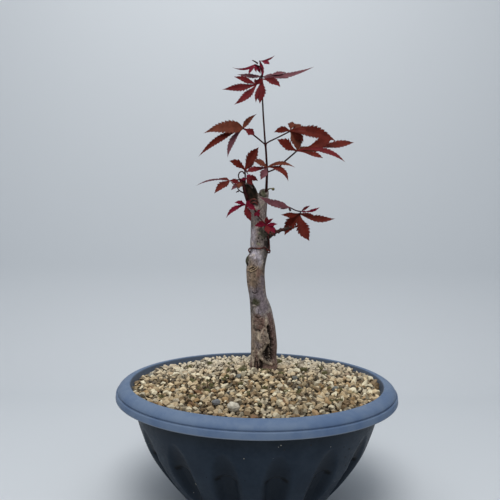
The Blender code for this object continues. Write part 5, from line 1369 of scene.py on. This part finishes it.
# A lobe runs from its leaf's heart as far across, away and up as told, bends sideways by its
# bow, and is widest at a share of its length. A stalk leads from the mass's stem to a heart.
Lobe = namedtuple("Lobe", "across away up width bow tone widest", defaults=("red_brown", 0.44))
Leaf = namedtuple("Leaf", "heart facing stalk lobes")
Mass = namedtuple("Mass", "name stem leaves")
FACE_ON = (0.0, -1.0, 0.25)
SLOPING = (0.0, -0.8, 0.6)
SIDE_ON = (0.9, -0.2, 0.35)
RED = "red_brown"
OLIVE = "olive_brown"
CRIMSON = "crimson"
MAUVE = "mauve"
DEEP = "deep_red"
MASSES = (
    Mass("crown_leaves", ((3.3, 44.0, 523.0), (3.2, 44.0, 528.0), (3.4, 44.2, 534.0)), (
        Leaf((-3.9, 37.0, 513.8), FACE_ON, ((3.2, 44.0, 529.0), (1.0, 38.5, 524.0)), (
            Lobe(-29, -12, 6, 8.0, -0.6, DEEP), Lobe(-43, -20, -13, 9.2, 1.0, DEEP),
            Lobe(-28, -17, -31, 9.0, 2.4, DEEP), Lobe(8, -3, 7, 6.0, 0.0, DEEP),
            Lobe(-2, 4, 9, 4.0, 0.0, DEEP))),
        Leaf((3.5, 38.0, 521.2), FACE_ON, ((3.2, 44.0, 529.0), (2.6, 41.0, 525.0)), (
            Lobe(-3, -8, -34, 10.8, 0.5, DEEP, 0.50), Lobe(23, -10, -13, 8.8, 3.0, DEEP, 0.50),
            Lobe(-8, -9, -33, 4.6, -1.6, DEEP, 0.62))),
        Leaf((4.0, 48.0, 527.4), SLOPING, ((3.3, 44.1, 531.0), (3.6, 45.8, 529.0)), (
            Lobe(68, 8, 17, 10.4, -4.6, MAUVE, 0.36), Lobe(31, 6, 9, 6.4, 0.0, MAUVE, 0.66),
            Lobe(35, 0, -1, 7.4, -0.4, MAUVE, 0.60), Lobe(-33, -6, 1, 6.8, 0.7, MAUVE),
            Lobe(14, -18, -3, 7.0, 0.0, MAUVE), Lobe(-11, -19, -4, 7.0, 0.0, MAUVE),
            Lobe(20, 26, 1, 9.0, 0.0, MAUVE), Lobe(-9, 28, 1, 9.0, 0.0, MAUVE))),
        Leaf((-6.4, 43.0, 542.0), FACE_ON, ((3.4, 44.2, 534.0), (0.5, 43.6, 539.0)), (
            Lobe(-29, -8, -7, 3.4, 4.4, CRIMSON, 0.30), Lobe(-8, -10, -17, 4.6, -0.4, CRIMSON),
            Lobe(2, -4, -12, 3.4, 0.0, CRIMSON), Lobe(8, 4, -11, 4.2, 0.8, CRIMSON))),
        Leaf((-0.3, 47.0, 548.2), FACE_ON, ((3.4, 44.2, 534.0), (3.6, 45.5, 541.0)), (
            Lobe(20, -4, 6, 2.8, -2.6, CRIMSON), Lobe(13, -10, -8, 6.0, 0.6, CRIMSON, 0.66),
            Lobe(5, -5, -22, 4.8, 0.8, CRIMSON))))),
    Mass("upper_left_leaf",
         ((8.9, 45.0, 438.0), (0.0, 44.0, 445.0), (-9.5, 43.0, 452.0), (-20.7, 42.0, 458.4)), (
        Leaf((-20.7, 42.0, 458.4), FACE_ON, (), (
            Lobe(-49, -22, -12, 16.6, -3.7, OLIVE, 0.27), Lobe(-36, 26, 5, 12.0, -3.0),
            Lobe(-55, -24, -42, 7.6, -4.8), Lobe(-19, -10, -40, 7.2, -4.6, MAUVE),
            Lobe(18, 8, 21, 6.4, 2.0, OLIVE, 0.30), Lobe(15, -8, -10, 8.6, 0.6, DEEP, 0.60))),)),
    Mass("upper_right_leaf",
         ((8.9, 45.0, 438.0), (13.0, 46.0, 442.0), (25.0, 49.0, 448.5), (41.6, 52.0, 457.7)), (
        Leaf((41.6, 52.0, 457.7), FACE_ON, (), (
            Lobe(-21, 8, 0, 8.6, -2.6), Lobe(3, 5, 14, 9.0, 0.0, OLIVE, 0.60),
            Lobe(15, 8, 11, 9.0, 0.0, OLIVE, 0.60), Lobe(59, -10, -15, 15.6, 5.0, RED, 0.42),
            Lobe(9, -4, -28, 14.4, 3.6, OLIVE, 0.40), Lobe(17, -5, -15, 10.0, 1.6, RED, 0.50),
            Lobe(36, 32, 6, 10.0, 2.6), Lobe(20, -26, -7, 8.0, 2.0))),)),
    Mass("mid_right_leaf",
         ((11.2, 46.0, 402.0), (25.0, 44.0, 408.0), (34.0, 42.0, 416.0), (49.1, 38.0, 428.8)), (
        Leaf((49.1, 38.0, 428.8), SLOPING, (), (
            Lobe(-26, -10, 13, 15.5, 0.6, RED, 0.50), Lobe(73, -4, 11, 12.0, 0.6, RED, 0.72),
            Lobe(44, -10, 15, 14.0, -1.0, RED, 0.70), Lobe(34, -6, 0, 9.5, 1.0, OLIVE),
            Lobe(58, -26, -18, 7.2, 8.4, DEEP, 0.55), Lobe(31, -24, -13, 7.0, 1.5, RED, 0.60),
            Lobe(24, 28, 10, 8.0, 1.3, OLIVE))),)),
    Mass("inner_leaf", ((11.2, 46.0, 406.5), (11.1, 42.5, 407.0), (10.7, 38.0, 407.2)), (
        Leaf((10.7, 38.0, 407.2), SLOPING, (), (
            Lobe(35, -20, -3, 6.0, 5.2, OLIVE, 0.36), Lobe(26, -26, -21, 8.4, 7.0),
            Lobe(-18, -10, 6, 10.0, -2.2, OLIVE), Lobe(-26, -14, -8, 10.5, -0.6, DEEP, 0.60),
            Lobe(-16, 4, -1, 6.5, 0.6, MAUVE), Lobe(-8, -14, -18, 8.8, 0.0, MAUVE))),)),
    Mass("left_leaves",
         ((-17.0, 46.0, 387.5), (-17.1, 46.2, 393.0), (-17.2, 46.6, 399.0), (-17.8, 47.0, 405.0)), (
        Leaf((-17.8, 47.0, 405.0), FACE_ON, (), (
            Lobe(18, 9, 32, 12.4, 0.9, RED, 0.48), Lobe(-20, -10, 10, 10.0, -2.0, RED, 0.50),
            Lobe(13, 18, 16, 7.0, 0.0), Lobe(-5, 13, 11, 2.4, 0.0),
            Lobe(6, 28, -4, 8.0, 0.0))),
        Leaf((-15.3, 43.0, 393.7), FACE_ON, ((-17.1, 46.2, 392.2), (-16.3, 44.6, 393.2)), (
            Lobe(15, 3, -3, 7.6, 2.0, DEEP), Lobe(8, -9, -10, 6.6, 0.0, DEEP),
            Lobe(-7, -6, -3, 4.6, 0.0, CRIMSON), Lobe(5, 5, 6, 5.0, 0.0, CRIMSON))),
        Leaf((-37.2, 44.0, 390.3), SLOPING, ((-17.1, 46.1, 391.2), (-28.0, 45.0, 391.8)), (
            Lobe(-43, -12, -9, 2.6, -4.6, MAUVE), Lobe(-19, -18, -19, 10.6, -1.0, RED, 0.36),
            Lobe(-11, 16, -1, 6.0, 0.0), Lobe(6, 22, -4, 5.0, 0.0),
            Lobe(-16, 26, 7, 7.5, 0.0))),
        Leaf((-24.1, 42.0, 388.1), FACE_ON, ((-17.1, 46.0, 389.6), (-20.5, 44.0, 388.8)), (
            Lobe(-13, -3, 2, 6.6, 0.0, DEEP), Lobe(-11, -6, -11, 5.4, 0.0, MAUVE),
            Lobe(-1, -7, -9, 7.0, 0.0, OLIVE), Lobe(6, -3, -6, 6.0, 0.0, OLIVE),
            Lobe(4, 4, 6, 5.0, 0.0, CRIMSON))))),
    Mass("small_left_leaf", ((0.4, 46.0, 358.0), (-10.0, 35.0, 358.5), (-16.0, 29.0, 357.7)), (
        Leaf((-16.0, 29.0, 357.7), FACE_ON, (), (
            Lobe(-14, -8, 2, 5.6, -1.3, CRIMSON), Lobe(-24, -15, -18, 5.6, -4.0, CRIMSON),
            Lobe(7, -4, -21, 8.4, -0.8, DEEP), Lobe(13, -6, -7, 6.6, 1.0, CRIMSON),
            Lobe(6, 3, 6, 5.0, 0.0, CRIMSON))),)),
    Mass("front_leaf", ((2.0, 45.0, 331.0), (6.0, 30.0, 331.5), (10.4, 25.0, 332.3)), (
        Leaf((10.4, 25.0, 332.3), FACE_ON, (), (
            Lobe(-15, -6, -2, 6.6, -1.0, CRIMSON), Lobe(1, -1, 11, 5.0, 0.0, DEEP),
            Lobe(9, -4, 8, 3.6, 1.0, CRIMSON), Lobe(14, -8, 1, 4.6, 0.0, CRIMSON),
            Lobe(11, -9, -11, 7.6, 1.3, CRIMSON), Lobe(3, -13, -12, 7.0, 0.0, DEEP),
            Lobe(-10, 3, 5, 4.4, 0.0, DEEP))),
        Leaf((-1.4, 32.0, 349.1), FACE_ON, ((-4.7, 35.0, 352.6), (-3.0, 33.5, 350.5)), (
            Lobe(-3, -3, -6, 4.2, 0.0, CRIMSON), Lobe(3, -3, -6, 4.4, 0.0, CRIMSON),
            Lobe(4, 2, 3, 3.0, 0.0, CRIMSON))))),
    Mass("back_leaf", ((1.0, 45.0, 344.0), (3.0, 62.0, 347.0), (2.0, 72.0, 352.0)), (
        Leaf((2.0, 72.0, 352.0), SIDE_ON, (), (
            Lobe(-5, 32, -7, 8.5, 0.0), Lobe(6, 27, 14, 7.5, 0.0), Lobe(-4, 10, 24, 6.5, 0.0),
            Lobe(5, 24, -24, 7.5, 0.0), Lobe(-3, 6, -26, 6.0, 0.0))),)),
    Mass("low_right_leaves",
         ((47.5, 42.0, 331.0), (51.0, 42.0, 332.0), (53.5, 43.0, 340.0), (53.8, 44.0, 348.8)), (
        Leaf((53.8, 44.0, 348.8), FACE_ON, (), (
            Lobe(-25, -18, -3, 6.6, 1.6), Lobe(-19, -3, -29, 13.4, -1.5),
            Lobe(12, -15, -36, 14.6, -2.4, RED, 0.52), Lobe(45, -12, -7, 9.2, -3.8, RED, 0.50),
            Lobe(3, -4, -23, 8.0, -1.0, OLIVE), Lobe(28, 26, -4, 7.0, 0.0),
            Lobe(-7, 28, -9, 9.1, 0.0, OLIVE))),
        Leaf((56.0, 40.0, 351.2), FACE_ON, ((54.0, 43.8, 347.0), (55.0, 42.0, 349.5)), (
            Lobe(11, -6, 7, 3.2, 0.6, DEEP), Lobe(7, -3, -1, 2.6, 0.0, CRIMSON),
            Lobe(23, -9, 5, 3.6, -2.4, CRIMSON, 0.56))),
        Leaf((40.4, 34.0, 355.7), SLOPING, ((55.8, 40.2, 351.0), (49.0, 37.0, 352.0)), (
            Lobe(-40, -16, 12, 11.0, 2.4, MAUVE, 0.38), Lobe(-13, -8, -3, 5.0, 0.0, MAUVE),
            Lobe(1, 8, -5, 4.2, 0.0, MAUVE), Lobe(-19, 8, 11, 6.0, 1.3, MAUVE))))),
)


def shoot_material():
    """Smooth young bark, dark red brown, paler and greener in soft patches."""
    material, tree, shader = new_material("young_bark")
    place = object_place(tree)
    streak = mottling(tree, place, 700.0, 0.2)
    colour = mix_colour(tree, streak, (0.012, 0.003, 0.004), (0.044, 0.009, 0.010))
    colour = tint(tree, colour, mottling(tree, place, 120.0), 0.3, (0.060, 0.024, 0.018))
    tree.links.new(colour, shader.inputs["Base Color"])
    shader.inputs["Roughness"].default_value = 0.6
    shader.inputs["Specular IOR Level"].default_value = 0.05
    add_bump(tree, shader, streak, 0.3, 0.0002)
    return material


shoot_paint = shoot_material()
leader_shell = bmesh.new()
add_tube(leader_shell, *shaped(LEADER, LEADER_STEPS), SHOOT_SIDES)
leader = link_object("leader_shoot", finish_shell("leader_shoot", leader_shell), shoot_paint)
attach(leader, "root")
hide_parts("leader")

bud_shell = bmesh.new()
add_tube(bud_shell, *shaped(BUD_TWIG, BUD_STEPS), SHOOT_SIDES)
bud_paint = mottled_material("bud_green", 400.0, (0.07, 0.055, 0.02), (0.17, 0.15, 0.06), 0.5)[0]
bud_twig = link_object("bud_on_twig", finish_shell("bud_on_twig", bud_shell), bud_paint)
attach(bud_twig, "root")
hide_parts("bud_twig")

stalk_shell = bmesh.new()
for points, first, last in LOOSE_STALKS:
    path = curved(points, LOOSE_STALK_STEPS)
    radii = [first + (last - first) * k / (len(path) - 1) for k in range(len(path))]
    add_tube(stalk_shell, path, radii, STALK_SIDES)
for mass in MASSES:
    even_tube(stalk_shell, mass.stem, STEM_STEPS, STEM_RADIUS, STALK_SIDES)
    for leaf in mass.leaves:
        if leaf.stalk:
            even_tube(stalk_shell, (*leaf.stalk, leaf.heart), STALK_STEPS, STALK_RADIUS, STALK_SIDES)
stalks = link_object("leaf_stalks", finish_shell("leaf_stalks", stalk_shell), shoot_paint)
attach(stalks, "root")
for mass in MASSES:
    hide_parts(mass.name)

# The leaves: thin palmate blades with deep toothed lobes, each folded a little along its
# rib, crimson where they are young and red brown to olive where they have grown.
LEAF_SEED = 7
LEAF_TWIST = 12.0
BLADE_THICKNESS = 0.3
BLADE_THINNING = 0.55
TIP_THICKNESS = 0.35
LEAF_FOLD = 0.2
LEAF_FULLNESS = 1.22
BLADE_COLUMNS = (-1.0, -0.72, -0.46, -0.22, -0.05, 0.05, 0.22, 0.46, 0.72, 1.0)
LOBE_OUTLINE = ((0.0, 0.14), (0.12, 0.29), (0.28, 0.70), (0.44, 1.0), (0.60, 0.92), (0.76, 0.62),
                (0.88, 0.27), (0.95, 0.10), (1.0, 0.0))
WIDEST = 0.44
NARROWEST = 0.04
TOOTH_RUN = 4.6
TOOTH_DEPTH = 0.30
TOOTH_START = (0.08, 0.25)
FEWEST_TEETH = 4
TOOTH_STEPS = ((0.0, 0.0), (0.22, 0.5), (0.42, 0.68), (0.5, 0.58), (0.72, 0.9), (0.94, 1.0))
VEIN_RUN = 3.6
VEIN_RISE = 0.16
VEIN_SLANT = 1.1
RIB_DEPTH = 0.16
RIB_WIDTH = 0.1
RIPPLE_RISE = 0.10
RIPPLE_RATE = 9.0
RIPPLE_SHIFT = 1.5
LEAF_SHARP_ANGLE = 60.0
LEAF_TONES = {
    "crimson": (0.132, 0.005, 0.018), "red_brown": (0.102, 0.013, 0.0075),
    "olive_brown": (0.132, 0.036, 0.021), "mauve": (0.130, 0.047, 0.057), "deep_red": (0.118, 0.012, 0.014),
}


def add_lobe(shell, heart, lobe, facing, twist, dice):
    """Add one lobe: a closed thin blade, toothed, folded on its rib and raised along its veins."""
    start = Vector(heart)
    chord = Vector((lobe.across, lobe.away, lobe.up))
    end = start + chord
    left = Vector((-chord.z, 0.0, chord.x)).normalized()
    middle = (start + end) / 2.0 + left * lobe.bow * 2.0
    teeth = max(round(chord.length / TOOTH_RUN), FEWEST_TEETH)
    rows = [((tooth + part) / teeth, reach) for tooth in range(teeth) for part, reach in TOOTH_STEPS]
    wave = dice.uniform(0.0, math.tau)
    rings = []
    for along, tooth_reach in rows + [(1.0, 1.0)]:
        rest = 1.0 - along
        point = start * rest * rest + middle * 2.0 * rest * along + end * along * along
        run = ((middle - start) * rest + (end - middle) * along).normalized()
        level = run.cross(Vector(facing)).normalized()
        across = level * math.cos(twist) + level.cross(run) * math.sin(twist)
        up = across.cross(run)
        warped = along ** (math.log(WIDEST) / math.log(lobe.widest))
        share = max(smooth_value(LOBE_OUTLINE, warped)[0], 0.0)
        bite = 1.0 - TOOTH_DEPTH * (1.0 - tooth_reach) * soft_step(along, *TOOTH_START)
        half_width = max(lobe.width / 2.0 * LEAF_FULLNESS * share * bite, NARROWEST)
        top = []
        under = []
        for column in BLADE_COLUMNS:
            side = column * half_width
            reach = along * chord.length - abs(side) * VEIN_SLANT
            vein = VEIN_RISE * math.cos(math.tau * reach / VEIN_RUN) * min(abs(column) * 3.0, 1.0) * share
            swing = math.sin(along * RIPPLE_RATE + wave + (RIPPLE_SHIFT if column > 0 else 0.0))
            ripple = RIPPLE_RISE * half_width * swing * column ** 2
            lift = abs(side) * LEAF_FOLD + vein + ripple
            thick = BLADE_THICKNESS / 2.0 * (1.0 - BLADE_THINNING * abs(column))
            thick *= TIP_THICKNESS + (1.0 - TIP_THICKNESS) * share
            rib = RIB_DEPTH * share if abs(column) < RIB_WIDTH else 0.0
            top.append(point + across * side + up * (lift + thick))
            under.append(point + across * side + up * (lift - thick - rib))
        rings.append(top + list(reversed(under)))
    add_skin(shell, rings)


def leaf_material(tone, colour):
    """A thin waxy leaf of one tone."""
    material, tree, shader = new_material("leaf_" + tone)
    place = object_place(tree)
    fine = mottling(tree, place, 900.0)
    darker, lighter, darkest = [tuple(value * share for value in colour) for share in (0.72, 1.2, 0.55)]
    shade = mix_colour(tree, mottling(tree, place, 90.0), darker, lighter)
    tree.links.new(tint(tree, shade, fine, 0.25, darkest), shader.inputs["Base Color"])
    shader.inputs["Roughness"].default_value = 0.55
    shader.inputs["Specular IOR Level"].default_value = 0.05
    add_bump(tree, shader, fine, 0.25, 0.0002)
    return material


leaf_dice = random.Random(LEAF_SEED)
leaf_shells = {tone: bmesh.new() for tone in LEAF_TONES}
leaf_owners = {tone: [] for tone in LEAF_TONES}
for mass in MASSES:
    for leaf in mass.leaves:
        for lobe in leaf.lobes:
            twist = math.radians(leaf_dice.uniform(-LEAF_TWIST, LEAF_TWIST))
            add_lobe(leaf_shells[lobe.tone], leaf.heart, lobe, leaf.facing, twist, leaf_dice)
            if mass.name not in leaf_owners[lobe.tone]:
                leaf_owners[lobe.tone].append(mass.name)
for tone, colour in LEAF_TONES.items():
    name = "leaves_" + tone
    leaves = link_object(name, finish_shell(name, leaf_shells[tone]), leaf_material(tone, colour))
    leaves.data.set_sharp_from_angle(angle=math.radians(LEAF_SHARP_ANGLE))
    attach(leaves, "root")
    for owner in leaf_owners[tone]:
        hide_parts(owner)
